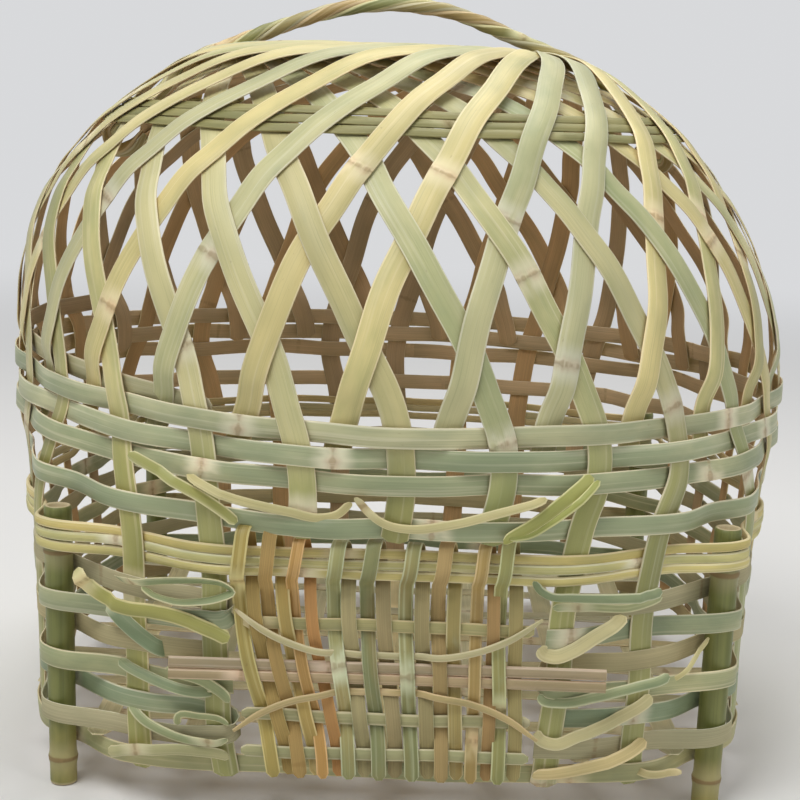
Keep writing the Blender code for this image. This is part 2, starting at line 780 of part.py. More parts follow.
def smooth_line(route, step):
    """Points at even steps along a smooth curve through the route's points."""
    dense = []
    last = len(route) - 1
    parts = 16
    for index in range(last):
        before = route[max(index - 1, 0)]
        here, there = route[index], route[index + 1]
        after = route[min(index + 2, last)]
        span = (there - here).length
        start = (there - before).normalized() * span
        finish = (after - here).normalized() * span
        for count in range(parts):
            share = count / parts
            square, cube = share**2, share**3
            point = here * (2 * cube - 3 * square + 1) + start * (cube - 2 * square + share)
            point = point + there * (3 * square - 2 * cube) + finish * (cube - square)
            dense.append(point)
    dense.append(route[-1])
    lengths = [0]
    for here, there in zip(dense, dense[1:]):
        lengths.append(lengths[-1] + (there - here).length)
    total = lengths[-1]
    pieces = ceil(total / step)
    points = []
    for count in range(pieces + 1):
        target = total * count / pieces
        index = 0
        while index < len(dense) - 2 and lengths[index + 1] < target:
            index += 1
        share = (target - lengths[index]) / (lengths[index + 1] - lengths[index])
        points.append(dense[index].lerp(dense[index + 1], share))
    return points


def handle_strands():
    """The pair crosses the hoop where two dome splints cross on it, on both sides."""
    half = handle_route()
    other = [Vector((-point.x, 0, point.z)) for point in reversed(half[:-1])]
    line = smooth_line(half + other, STRAND_STEP)
    side = Vector((0, 1, 0))
    offset = STRAND_RADIUS + STRAND_GAP / 2
    facing = crossing_azimuth_near(0)
    lines = [[], []]
    travelled = 0
    last = len(line) - 1
    for index, point in enumerate(line):
        if index:
            travelled += (point - line[index - 1]).length
        along = (line[min(index + 1, last)] - line[max(index - 1, 0)]).normalized()
        out = along.cross(side)
        twist = 2 * pi * travelled / TWIST_PITCH
        for strand in (0, 1):
            phase = twist + pi * strand
            place = point + side * (offset * cos(phase)) + out * (offset * sin(phase))
            turned = polar(facing, place.x, place.z) + polar(facing + pi / 2, place.y, 0)
            lines[strand].append(turned)
    least = min((a - b).length for a in lines[0] for b in lines[1]) - 2 * STRAND_RADIUS
    print(f"handle: least gap between its two strands {least * 1000:.2f} mm")
    return [tube(f"handle_strand_{strand + 1}", lines[strand]) for strand in (0, 1)]


def crossing_azimuth_near(azimuth):
    """The nearest place where two dome splints cross on the hoop, ten steps along each."""
    first = shoulder_azimuth(0) - HALF_SPAN_STEPS * STEP + 10 * STEP
    pitch = 2 * STEP
    return first + round((azimuth - first) / pitch) * pitch


def tube(name, points):
    curve = bpy.data.curves.new(name, "CURVE")
    curve.dimensions = "3D"
    curve.bevel_depth = STRAND_RADIUS
    curve.bevel_resolution = 1
    curve.use_fill_caps = True
    line = curve.splines.new("POLY")
    line.points.add(len(points) - 1)
    for spot, point in zip(line.points, points):
        spot.co = (*point, 1)
    line.use_smooth = True
    curve.materials.append(HANDLE_LOOK)
    body = bpy.data.objects.new(name, curve)
    CAGE.objects.link(body)
    return body


def build():
    for index in range(SPLINT_COUNT):
        dome_splint(index)
    for count, (x_sign, y_sign) in enumerate([(-1, -1), (1, -1), (1, 1), (-1, 1)]):
        corner_post(f"corner_post_{count + 1}", x_sign * POST_PLACE, y_sign * POST_PLACE)
    shoulder_band("shoulder_band_1", BAND_A_HEIGHT, 0)
    shoulder_band("shoulder_band_2", BAND_B_HEIGHT, 1)
    shoulder_band("shoulder_band_3", BAND_C_HEIGHT, 0)
    wall_ring("shoulder_band_4", BAND_D_HEIGHT, BAND_WIDTH, BAND_THICKNESS, BAND_FLAT_HALF, 1, BAND_LOOK, False)
    wall_ring("header_rail", RAIL_HEIGHT, RAIL_WIDTH, RAIL_THICKNESS, WEAVER_FLAT_HALF, 0, RAIL_LOOK, True)
    for pair in range(3):
        upper = WEAVER_TOP_HEIGHT - 2 * pair * WEAVER_PITCH
        double_weaver(f"wall_weaver_{pair + 1}", upper, 1, pair % 2 == 1)
    wall_ring("sill_weaver", SILL_HEIGHT, WEAVER_WIDTH, WEAVER_THICKNESS, WEAVER_FLAT_HALF, 1, WEAVER_LOOK, True)
    top_hoop()
    floor_mat(MAT_HEIGHT)
    handle_strands()

    hinge = hinge_place()
    print(f"hinge axis y {hinge.y:.5f} z {hinge.z:.5f}")
    door = empty_at("door_hinge", hinge)
    for index in range(DOOR_LOOPS):
        door_strip(index, hinge, door)
    straight_weft("door_weft_1", WEFT_1_HEIGHT, hinge, door)
    straight_weft("door_weft_2", WEFT_2_HEIGHT, hinge, door)
    straight_weft("door_weft_3", WEFT_3_HEIGHT, hinge, door)
    bow("door_bow_1", BOW_UPPER_MIDDLE_HEIGHT, BOW_UPPER_END_HEIGHT, hinge, door)
    bow("door_bow_2", BOW_LOWER_MIDDLE_HEIGHT, BOW_LOWER_END_HEIGHT, hinge, door)
    lock_bar(hinge)


build()
print("sub-parts:", sum(body.type in ("MESH", "CURVE") for body in CAGE.objects))
print("shoulder lean", round(degrees(atan2(SHOULDER_LEAN * SHOULDER_RADIUS, 1)), 1), "degrees")
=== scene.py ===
# %% [markdown]
# # A domed chicken cage woven from split bamboo
#
# This lesson dresses a finished frame. The frame is a model whose sizes are already right, made of
# plain facetted strips. Each strip here becomes a real bamboo splint: rounded at its edges, smooth in
# its bends, green and glossy on its skin side and dull and pale where it was split.
#
# The frame is loaded first and its box is kept, because the dressed cage may not outgrow it.

# %% Load the frame
import json
from math import ceil, cos, exp, pi, radians, sin
from random import Random

import bmesh
import bpy
from mathutils import Euler, Matrix, Vector
from mathutils.bvhtree import BVHTree

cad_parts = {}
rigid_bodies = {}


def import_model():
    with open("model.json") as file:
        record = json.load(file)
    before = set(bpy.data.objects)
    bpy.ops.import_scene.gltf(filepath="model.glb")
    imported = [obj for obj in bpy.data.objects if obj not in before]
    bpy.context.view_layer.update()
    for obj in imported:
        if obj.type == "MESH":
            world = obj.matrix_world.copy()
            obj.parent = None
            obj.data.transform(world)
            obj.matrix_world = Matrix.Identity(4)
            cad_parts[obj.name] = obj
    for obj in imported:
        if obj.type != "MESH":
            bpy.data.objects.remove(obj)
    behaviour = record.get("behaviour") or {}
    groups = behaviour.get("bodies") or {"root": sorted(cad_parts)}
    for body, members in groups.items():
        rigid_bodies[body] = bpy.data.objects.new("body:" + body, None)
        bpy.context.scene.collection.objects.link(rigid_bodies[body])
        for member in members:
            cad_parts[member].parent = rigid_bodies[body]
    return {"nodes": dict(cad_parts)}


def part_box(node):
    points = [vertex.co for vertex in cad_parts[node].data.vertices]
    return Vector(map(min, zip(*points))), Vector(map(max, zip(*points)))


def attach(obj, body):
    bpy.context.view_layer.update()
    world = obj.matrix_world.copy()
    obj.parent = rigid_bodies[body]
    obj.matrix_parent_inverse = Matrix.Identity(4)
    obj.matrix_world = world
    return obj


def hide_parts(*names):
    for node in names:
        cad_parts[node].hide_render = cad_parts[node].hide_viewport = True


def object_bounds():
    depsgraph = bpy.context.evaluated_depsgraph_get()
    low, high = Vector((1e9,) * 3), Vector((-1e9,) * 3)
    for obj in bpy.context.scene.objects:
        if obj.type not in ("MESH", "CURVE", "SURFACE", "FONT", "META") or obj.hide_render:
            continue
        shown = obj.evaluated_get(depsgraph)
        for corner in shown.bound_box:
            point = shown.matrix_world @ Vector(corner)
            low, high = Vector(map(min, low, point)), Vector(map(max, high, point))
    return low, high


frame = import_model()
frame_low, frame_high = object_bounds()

print("nodes in the frame:", len(frame["nodes"]))

# %% [markdown]
# ## The camera
#
# The picture was taken from a little over a metre away, a bit above the rim of the dome and looking
# slightly down at it. A long lens keeps the dome's sides from bulging. The camera comes first because
# everything else is judged through it.

# %% Camera
CAMERA_PLACE = Vector((0.006, -1.262, 0.450))
CAMERA_DIP = radians(10.0)
CAMERA_TURN = radians(0.21)
CAMERA_ROLL = radians(1.9)
SENSOR_WIDTH = 36
LENS_LENGTH = 76.0


def set_camera():
    camera = bpy.data.objects.new("camera", bpy.data.cameras.new("camera"))
    camera.data.lens = LENS_LENGTH
    camera.data.sensor_width = SENSOR_WIDTH
    aim = Euler((pi / 2 - CAMERA_DIP, 0, CAMERA_TURN), "XYZ").to_matrix()
    roll = Matrix.Rotation(CAMERA_ROLL, 3, "Z")
    camera.matrix_world = Matrix.Translation(CAMERA_PLACE) @ (aim @ roll).to_4x4()
    bpy.context.scene.collection.objects.link(camera)
    bpy.context.scene.camera = camera
    return camera


print("camera:", set_camera().name)

# %% [markdown]
# ## Sums written as sums
#
# A material is a chain of small calculations. Blender stores each one as a node, and a long chain
# of nodes is hard to read in a script. This small class wraps one socket, so that a plain Python
# sum adds the node that works it out. The same class serves the trees that build shapes.

# %% Wires between nodes
class Wire:
    """One output of a node, which can be used in sums with numbers and with other wires."""

    def __init__(self, tree, socket):
        self.tree = tree
        self.socket = socket

    def math(self, operation, *values):
        return add(self.tree, "ShaderNodeMath", {"operation": operation}, dict(enumerate(values)))

    def __add__(self, other):
        return self.math("ADD", self, other)

    def __radd__(self, other):
        return self.math("ADD", other, self)

    def __sub__(self, other):
        return self.math("SUBTRACT", self, other)

    def __rsub__(self, other):
        return self.math("SUBTRACT", other, self)

    def __mul__(self, other):
        return self.math("MULTIPLY", self, other)

    def __rmul__(self, other):
        return self.math("MULTIPLY", other, self)

    def __truediv__(self, other):
        return self.math("DIVIDE", self, other)

    def size(self):
        return self.math("ABSOLUTE", self)

    def rest(self):
        """What is left after the last whole number."""
        return self.math("FRACT", self)

    def highest(self, other):
        return self.math("MAXIMUM", self, other)

    def rise(self, low, high):
        """0 below low, 1 above high and a soft slope between them; low above high turns it round."""
        ends = {"Value": self, "From Min": low, "From Max": high}
        return add(self.tree, "ShaderNodeMapRange", {"interpolation_type": "SMOOTHSTEP"}, ends)

    def pick(self, colour_at_0, colour_at_1):
        """A colour between two, as far along as this wire says."""
        return self.mix("MIX", self, colour_at_0, colour_at_1)

    def times(self, colour):
        """This colour, tinted by another."""
        return self.mix("MULTIPLY", 1.0, self, colour)

    def mix(self, blend, share, below, above):
        settings = {"data_type": "RGBA", "blend_type": blend}
        return add(self.tree, "ShaderNodeMix", settings, {0: share, 6: below, 7: above}, 2)


def add(tree, kind, settings=None, sockets=None, out=0):
    """Adds a node, sets it up, fills or links its sockets, and hands back one of its outputs."""
    node = tree.nodes.new(kind)
    for name, value in (settings or {}).items():
        setattr(node, name, value)
    for name, value in (sockets or {}).items():
        socket = node.inputs[name]
        if isinstance(value, Wire):
            tree.links.new(value.socket, socket)
        elif socket.type == "RGBA":
            socket.default_value = (*value, 1) if len(value) == 3 else value
        else:
            socket.default_value = value
    return Wire(tree, node.outputs[out])


def place(x, y, z):
    """Three wires or numbers as one vector."""
    tree = next(value.tree for value in (x, y, z) if isinstance(value, Wire))
    return add(tree, "ShaderNodeCombineXYZ", None, {0: x, 1: y, 2: z})


def split(vector):
    """The three parts of a vector, each as a wire."""
    parts = vector.tree.nodes.new("ShaderNodeSeparateXYZ")
    vector.tree.links.new(vector.socket, parts.inputs[0])
    return [Wire(vector.tree, socket) for socket in parts.outputs]


def cloud(where, scale, detail=2.0, roughness=0.5):
    """Soft random patches between 0 and 1."""
    sockets = {"Vector": where, "Scale": scale, "Detail": detail, "Roughness": roughness}
    return add(where.tree, "ShaderNodeTexNoise", None, sockets)


print("a wire adds one node for each sum")

# %% [markdown]
# ## What split bamboo looks like
#
# A splint has two faces. The skin is smooth, green to straw yellow, with hair-thin fibre lines and a
# faint waxy gloss. The other face is the split wood: paler or browner, dull and stringy. Every
# hand's breadth or two the cane had a node, and the splint keeps it as a cream patch with a thin
# brown scar and a slight ridge.
#
# All of that follows the splint, not the room, so the pattern reads the splint's own map: how far
# along it and how far across it a point lies, in metres. Three small attributes ride along: which
# face the point is on, and the tint and the shade that this one splint was cut with.

# %% Bamboo finish
NODE_PITCH = 0.34
SCAR_HALF_WIDTH = 0.0008
CREAM_HALF_LENGTH = 0.016
OLIVE_FROM, OLIVE_FULL = 0.268, 0.214
RUST = (0.46, 0.25, 0.085)


def new_finish(name):
    """An empty material and its tree."""
    material = bpy.data.materials.new(name)
    material.use_nodes = True
    material.node_tree.nodes.clear()
    return material, material.node_tree


def end_finish(material, colour, rough, shine, height, strength, depth):
    """Puts the colour, the roughness and the fine relief on one surface."""
    tree = material.node_tree
    bump = add(tree, "ShaderNodeBump", None, {"Strength": strength, "Distance": depth, "Height": height})
    sockets = {"Base Color": colour, "Roughness": rough, "Normal": bump, "Specular IOR Level": shine}
    surface = add(tree, "ShaderNodeBsdfPrincipled", None, sockets)
    output = tree.nodes.new("ShaderNodeOutputMaterial")
    tree.links.new(surface.socket, output.inputs["Surface"])
    return material


def attribute(tree, name, out=2):
    return add(tree, "ShaderNodeAttribute", {"attribute_name": name}, None, out)


def splint_finish(name, skin, deep, core, cream=(0.80, 0.74, 0.52), gloss=0.40, wear=0.5, olive=None, rust=0):
    """A material for splints: skin and deep are the two greens, core is the split wood."""
    material, tree = new_finish(name)
    along, across, _ = split(add(tree, "ShaderNodeUVMap", {"uv_map": "UVMap"}))
    face, green, rim = (attribute(tree, label) for label in ("face", "green", "rim"))
    tint = attribute(tree, "tint", 0)

    hairs = cloud(place(along * 9, across * 1500, 0), 1.0, 3.0, 0.6)
    streaks = cloud(place(along * 5, across * 330, 3), 1.0, 2.0, 0.55)
    patches = cloud(place(along * 22, across * 60, 7), 1.0, 3.0, 0.6)
    drift = cloud(place(along * 2.6, 0, 11), 1.0, 1.0, 0.5)
    specks = cloud(place(along * 170, across * 420, 5), 1.0, 2.0, 0.6)
    blotch = cloud(place(along * 13, across * 30, 17), 1.0, 2.0, 0.5)

    wobble = cloud(place(along * 3, across * 190, 2), 1.0, 1.0) - 0.5
    to_node = ((along / NODE_PITCH).rest() - 0.5).size() * NODE_PITCH + wobble * 0.0046
    scar = to_node.rise(SCAR_HALF_WIDTH * 2.8, SCAR_HALF_WIDTH * 0.6) * streaks.rise(0.30, 0.55)
    cream_here = to_node.rise(CREAM_HALF_LENGTH, CREAM_HALF_LENGTH * 0.3) * patches.rise(0.28, 0.50)
    ragged = rim + (drift - 0.5) * 0.0022 + (streaks - 0.5) * 0.0008
    is_rim = ragged.rise(0.0011, 0.0005)

    is_skin = face.rise(0.15, 0.75)
    is_cut = (face.size()).rise(0.95, 0.45)
    mellow = (green + (drift - 0.5) * 1.3 + (patches - 0.5) * 0.9).rise(0.15, 0.95)
    fresh = mellow.pick(skin, deep)
    if olive:
        height = split(add(tree, "ShaderNodeTexCoord", None, None, 3))[2]
        lower = (height + (drift - 0.5) * 0.05).rise(OLIVE_FROM, OLIVE_FULL)
        fresh = (lower * 0.72).pick(fresh, olive)
    if rust:
        rusty = cloud(place(along * 8, across * 22, 29), 1.0, 2.0, 0.5).rise(0.50, 0.72) * rust
        fresh = rusty.pick(fresh, RUST)
    straw = (streaks.rise(0.50, 0.80) * 0.50).pick(fresh, cream)
    lined = (hairs.rise(0.50, 0.24) * 0.34).pick(straw, [value * 0.60 for value in deep])
    dusty = (patches.rise(0.58, 0.85) * wear * 0.5).pick(lined, (0.52, 0.52, 0.42))
    skinned = (specks.rise(0.68, 0.80) * wear * 0.7).pick(dusty, (0.30, 0.22, 0.12))
    bright = [min(value * 1.42, 1) for value in core]
    fibres = (hairs.rise(0.35, 0.70) * 0.55 + streaks * 0.3).pick(core, bright)
    split_wood = (patches.rise(0.60, 0.85) * 0.45).pick(fibres, [value * 0.62 for value in core])
    body = is_skin.pick(split_wood, skinned)
    bare = is_cut.highest(is_rim * is_skin)
    edged = (bare * streaks.rise(0.15, 0.45) * 0.72).pick(body, cream)
    creamed = (cream_here * is_skin * 0.78).pick(edged, cream)
    near = to_node.rise(0.0065, 0.0012) * patches.rise(0.35, 0.60)
    blushed = (near * is_skin * 0.42).pick(creamed, (0.62, 0.40, 0.25))
    scarred = (scar * 0.55).pick(blushed, (0.36, 0.25, 0.13))
    # Partly painted light and shade: patches along each splint are made lighter and darker, as if light fell
    # on it unevenly. The rest is the splint's own uneven tone.
    light_and_tone_patches = blotch.rise(0.32, 0.68).pick((0.84, 0.85, 0.80), (1.12, 1.09, 1.04))
    tinted = scarred.times(light_and_tone_patches).times(tint)

    rough = 0.80 - is_skin * (0.80 - gloss) + hairs * 0.10 + scar * 0.15
    ridge = to_node.rise(0.0035, 0) * is_skin
    height = hairs * 0.35 + streaks * 0.65 + ridge * 1.6 + specks * 0.1
    return end_finish(material, tinted, rough, 0.40, height, 0.6, 0.0007)


OLIVE = (0.30, 0.31, 0.085)
DOME_FINISH = splint_finish(
    "dome_splint", (0.635, 0.58, 0.30), (0.395, 0.415, 0.19), (0.48, 0.33, 0.18), olive=OLIVE
)
BAND_FINISH = splint_finish(
    "band_splint", (0.52, 0.50, 0.285), (0.30, 0.34, 0.19), (0.48, 0.35, 0.20), gloss=0.38
)
WALL_FINISH = splint_finish(
    "wall_splint", (0.50, 0.49, 0.27), (0.27, 0.32, 0.18), (0.41, 0.36, 0.21), gloss=0.44
)
RAIL_FINISH = splint_finish(
    "rail_splint", (0.64, 0.555, 0.225), (0.42, 0.395, 0.160), (0.46, 0.38, 0.20), gloss=0.5
)
YELLOW_FINISH = splint_finish(
    "door_splint", (0.44, 0.35, 0.150), (0.235, 0.245, 0.110), (0.38, 0.28, 0.145), wear=0.8, rust=0.45
)
PALE_FINISH = splint_finish(
    "pale_splint", (0.62, 0.56, 0.33), (0.44, 0.44, 0.24), (0.64, 0.52, 0.34), gloss=0.5
)
BAR_FINISH = splint_finish(
    "bar_splint", (0.41, 0.32, 0.19), (0.33, 0.27, 0.15), (0.50, 0.39, 0.25), (0.76, 0.60, 0.46), 0.55
)
print("bamboo finishes:", sum(item.name.endswith("_splint") for item in bpy.data.materials))

# %% [markdown]
# ## Reading a strip of the frame
#
# The frame stores each strip as a bag of triangles. The dressed splint has to run exactly where the
# strip runs, so the strip is measured first. At each bend a strip has four corners, joined in pairs
# by its short edges, one on the left and one on the right. A triangle that holds a whole short edge
# lies in a side wall, and leads to the next short edge. Following them goes once round the strip.

# %% Measuring strips
WELD = 3e-6


def welded(node):
    """A node's mesh, with the vertices that lie at one place joined."""
    shape = bmesh.new()
    shape.from_mesh(frame["nodes"][node].data)
    bmesh.ops.remove_doubles(shape, verts=shape.verts, dist=WELD)
    shape.verts.index_update()
    return shape


def gap(here, there):
    return (here - there).length


def middle_of(pair):
    return (pair[0] + pair[1]) / 2


def short_edges(shape):
    """Each vertex paired with the one straight through the strip's thickness from it."""
    partner = {}
    for vertex in shape.verts:
        facing = Vector((0, 0, 0))
        for face in vertex.link_faces:
            facing += face.normal * face.calc_area()
        facing.normalize()
        best = max(vertex.link_edges, key=lambda edge: abs(edge_way(edge).dot(facing)))
        partner[vertex.index] = best.other_vert(vertex).index
    return sorted({tuple(sorted(pair)) for pair in partner.items() if partner[pair[1]] == pair[0]})


def edge_way(edge):
    return (edge.verts[0].co - edge.verts[1].co).normalized()


def chains_of(shape, pairs):
    """The short edges in order along the side walls, each as (vertex, vertex) with sides kept."""
    home = {vertex: pair for pair in pairs for vertex in pair}
    links = {pair: set() for pair in pairs}
    for face in shape.faces:
        corners = [vertex.index for vertex in face.verts]
        held = [home[corner] for corner in corners if corner in home]
        for pair in held:
            if held.count(pair) == 2:
                links[pair].update(other for other in held if other != pair)
                for other in held:
                    if other != pair:
                        links[other].add(pair)
    chains = []
    left = set(pairs)
    points = {vertex.index: vertex.co.copy() for vertex in shape.verts}
    while left:
        start = min(left)
        chain = [start]
        left.discard(start)
        while True:
            last = chain[-1]
            onward = [pair for pair in links[home[last[0]]] if pair in left]
            if not onward:
                break
            nearest = min(onward, key=lambda pair: gap(points[pair[0]], points[last[0]]))
            left.discard(nearest)
            straight = gap(points[nearest[0]], points[last[0]]) + gap(points[nearest[1]], points[last[1]])
            crossed = gap(points[nearest[1]], points[last[0]]) + gap(points[nearest[0]], points[last[1]])
            chain.append(nearest if straight <= crossed else (nearest[1], nearest[0]))
        chains.append([(points[a], points[b]) for a, b in chain])
    return chains


def measure_strip(node):
    """Stations along a strip: middle, way across and way out of its skin; and whether it is a ring."""
    shape = welded(node)
    chains = chains_of(shape, short_edges(shape))
    shape.free()
    if len(chains) == 1:
        loop = chains[0]
        count = len(loop) // 2

        def spread(turn):
            total = 0
            for index in range(count):
                there, back = loop[(turn + index) % len(loop)], loop[(turn - 1 - index) % len(loop)]
                total += gap(middle_of(there), middle_of(back))
            return total

        turn = min(range(len(loop)), key=spread)
        lefts = [loop[(turn + index) % len(loop)] for index in range(count)]
        rights = [loop[(turn - 1 - index) % len(loop)] for index in range(count)]
    else:
        lefts, rights = sorted(chains, key=len)[-2:]
        near = min(range(len(rights)), key=lambda index: gap(middle_of(rights[index]), middle_of(lefts[0])))
        rights = rights[near:] + rights[:near]
        ahead, behind = (gap(middle_of(rights[turn]), middle_of(lefts[1])) for turn in (1, -1))
        if ahead > behind:
            rights = rights[:1] + rights[:0:-1]
    stations = []
    for left, right in zip(lefts, rights):
        same = gap(left[0], right[0]) + gap(left[1], right[1])
        other = gap(left[1], right[0]) + gap(left[0], right[1])
        if same > other + 1e-7:
            right = (right[1], right[0])
        middle = (middle_of(left) + middle_of(right)) / 2
        across = middle_of(right) - middle_of(left)
        out = (left[0] - left[1]) + (right[0] - right[1])
        ways = [middle, across.normalized(), out.normalized()]
        stations.append([*ways, across.length, gap(left[0], left[1])])
    return stations, len(chains) > 1


print("stations along the first dome strip:", len(measure_strip("dome_strip_01")[0]))

# %% [markdown]
# ## Smooth lines through the stations
#
# The frame bends at its stations and is straight between them, while real bamboo bends evenly. A
# smooth curve is laid through the same stations, so the splint still passes over and under the same
# neighbours. It is then cut into steps of a few millimetres.

# %% Smooth lines
STEP_LENGTH = 0.0036
HELD_SHARES = (0.12, 0.88)
SWAY_WAVES = ((0.30, 0.5), (0.14, 0.35), (0.07, 0.25))
chance = Random(7)


def slopes(values, lengths, ring):
    """How fast a value changes at each station, weighted by the lengths on both sides."""
    count = len(values)
    found = []
    for index in range(count):
        if ring or 0 < index < count - 1:
            before, after = lengths[index - 1], lengths[index]
            left = (values[index] - values[index - 1]) / before
            right = (values[(index + 1) % count] - values[index]) / after
            found.append((left * after + right * before) / (before + after))
        elif index == 0:
            found.append((values[1] - values[0]) / lengths[0])
        else:
            found.append((values[-1] - values[-2]) / lengths[-2])
    return found


def smooth_stations(stations, ring, step=STEP_LENGTH):
    """Middle, way across and way out at even small steps, on a smooth curve through the stations."""
    middles = [station[0] for station in stations]
    count = len(middles)
    lengths = [(middles[(index + 1) % count] - middles[index]).length for index in range(count)]
    tracks = [[station[kind] for station in stations] for kind in range(3)]
    rates = [slopes(track, lengths, ring) for track in tracks]
    line = []
    for index in range(count if ring else count - 1):
        after = (index + 1) % count
        pieces = max(2, ceil(lengths[index] / step))
        for piece in range(pieces):
            share = piece / pieces
            square, cube = share**2, share**3
            found = []
            for track, rate in zip(tracks, rates):
                value = track[index] * (2 * cube - 3 * square + 1) + track[after] * (3 * square - 2 * cube)
                value = value + rate[index] * (lengths[index] * (cube - 2 * square + share))
                found.append(value + rate[after] * (lengths[index] * (cube - square)))
            line.append(found)
    if not ring:
        line.append([tracks[kind][-1] for kind in range(3)])
    return [(middle, across.normalized(), out.normalized()) for middle, across, out in line]


def hold_straight(stations, ring, longest):
    """Adds stations near both ends of every long stretch, so that it stays straight."""
    held = []
    for index, here in enumerate(stations):
        held.append(here)
        after = stations[(index + 1) % len(stations)]
        if (ring or index + 1 < len(stations)) and (after[0] - here[0]).length > longest:
            for share in HELD_SHARES:
                held.append([start * (1 - share) + end * share for start, end in zip(here, after)])
    return held


def sway(line, reach):
    """Lets a splint wander a little in its own plane, over long and short waves."""
    total = sum((there[0] - here[0]).length for here, there in zip(line, line[1:]))
    waves = []
    for length, share in SWAY_WAVES:
        waves.append((2 * pi * max(1, round(total / length)), share, chance.uniform(0, 2 * pi)))
    moved = []
    for index, (middle, across, out) in enumerate(line):
        shift = sum(share * sin(turns * index / len(line) + phase) for turns, share, phase in waves)
        moved.append((middle + across * (reach * shift), across, out))
    return moved


print("steps along a splint:", STEP_LENGTH * 1000, "mm")

# %% [markdown]
# ## Sweeping a splint with Geometry Nodes
#
# Every splint is the same job: one rounded outline, carried along its own line. Geometry Nodes do it
# for all of them from one tree. The line is a chain of points that remember which way the skin faces
# and how full the splint is there, so a tip can run out thin. The outline is a flat box with rounded
# corners whose skin side bulges a little, as the outside of a cane does.
#
# The tree also stores the splint's map, its face and its two tints for the material above.

# %% The sweep tree
ROUNDED_SHARE = 0.34
CROWN_SHARE = 0.12
SPLINT_INPUTS = {
    "Width": "Float", "Thickness": "Float", "Start": "Float", "Green": "Float",
    "Tint": "Color", "Material": "Material",
}
NODE_BULGE, NODE_BULGE_LENGTH = 0.035, 0.006
WAVER, WAVER_RATE = 0.012, 19
TIP_LOSS = 0.55
LONGEST_START = 40
CAGE_MIDDLE = Vector((0, 0, 0.2))


def new_tree(name, inputs):
    """An empty shape tree with a mesh in, a mesh out and the named inputs."""
    tree = bpy.data.node_groups.new(name, "GeometryNodeTree")
    tree.interface.new_socket("Mesh", in_out="INPUT", socket_type="NodeSocketGeometry")
    for label, kind in inputs.items():
        tree.interface.new_socket(label, in_out="INPUT", socket_type=f"NodeSocket{kind}")
    tree.interface.new_socket("Mesh", in_out="OUTPUT", socket_type="NodeSocketGeometry")
    source = tree.nodes.new("NodeGroupInput")
    ways = {socket.name: Wire(tree, socket) for socket in source.outputs if socket.name}
    return tree, ways


def finish_tree(tree, mesh, material):
    """Realize Instances and Set Material come last, then the output."""
    real = add(tree, "GeometryNodeRealizeInstances", None, {"Geometry": mesh})
    done = add(tree, "GeometryNodeSetMaterial", None, {"Geometry": real, "Material": material})
    output = tree.nodes.new("NodeGroupOutput")
    tree.links.new(done.socket, output.inputs[0])


def named(tree, name, kind="FLOAT"):
    return add(tree, "GeometryNodeInputNamedAttribute", {"data_type": kind}, {"Name": name})


def keep_value(tree, mesh, name, value, kind="FLOAT", domain="POINT"):
    settings = {"data_type": kind, "domain": domain}
    sockets = {"Geometry": mesh, "Name": name, "Value": value}
    return add(tree, "GeometryNodeStoreNamedAttribute", settings, sockets)


def make_splint_tree():
    tree, ways = new_tree("splint_sweep", SPLINT_INPUTS)
    line = add(tree, "GeometryNodeMeshToCurve", None, {"Mesh": ways["Mesh"]})
    facing = {"Curve": line, "Normal": named(tree, "out", "FLOAT_VECTOR")}
    line = add(tree, "GeometryNodeSetCurveNormal", {"mode": "FREE"}, facing)
    run = add(tree, "GeometryNodeSplineParameter", None, None, 1)
    line = keep_value(tree, line, "along", run + ways["Start"])

    box = {"Width": ways["Thickness"], "Height": ways["Width"]}
    outline = add(tree, "GeometryNodeCurvePrimitiveQuadrilateral", None, box)
    corner = ways["Thickness"] * ROUNDED_SHARE
    rounding = {"Curve": outline, "Count": 1, "Radius": corner}
    outline = add(tree, "GeometryNodeFilletCurve", {"mode": "POLY"}, rounding)
    outline = add(tree, "GeometryNodeSubdivideCurve", None, {"Curve": outline, "Cuts": 1})
    upward, sideways, _ = split(add(tree, "GeometryNodeInputPosition"))
    from_middle = sideways / (ways["Width"] * 0.5)
    crown = ways["Thickness"] * CROWN_SHARE * (1 - from_middle * from_middle)
    raised = place(crown, 0, 0)
    outline = keep_value(tree, outline, "across", sideways)
    outline = keep_value(tree, outline, "rim", ways["Width"] * 0.5 - sideways.size())
    outline = keep_value(tree, outline, "face", upward / (ways["Thickness"] * 0.5))
    outline = add(tree, "GeometryNodeSetPosition", None, {"Geometry": outline, "Offset": raised})

    sockets = {"Curve": line, "Profile Curve": outline, "Scale": named(tree, "fullness"), "Fill Caps": True}
    mesh = add(tree, "GeometryNodeCurveToMesh", None, sockets)
    spread = place(named(tree, "along"), named(tree, "across"), 0)
    mesh = keep_value(tree, mesh, "UVMap", spread, "FLOAT2", "CORNER")
    mesh = keep_value(tree, mesh, "green", ways["Green"])
    mesh = keep_value(tree, mesh, "tint", ways["Tint"], "FLOAT_COLOR")
    mesh = add(tree, "GeometryNodeSetShadeSmooth", None, {"Geometry": mesh, "Shade Smooth": True})
    finish_tree(tree, mesh, ways["Material"])
    return tree


SPLINT_TREE = make_splint_tree()


def run_tree(name, tree, mesh, inputs):
    """Runs a shape tree on a mesh and keeps the result as a plain mesh piece."""
    source = bpy.data.objects.new(name, mesh)
    bpy.context.scene.collection.objects.link(source)
    maker = source.modifiers.new("maker", "NODES")
    maker.node_group = tree
    for socket in tree.interface.items_tree:
        if socket.in_out == "INPUT" and socket.name in inputs:
            maker[socket.identifier] = inputs[socket.name]
    ready = source.evaluated_get(bpy.context.evaluated_depsgraph_get())
    plain = bpy.data.meshes.new_from_object(ready)
    source.modifiers.remove(maker)
    source.data = plain
    plain.name = name
    return source


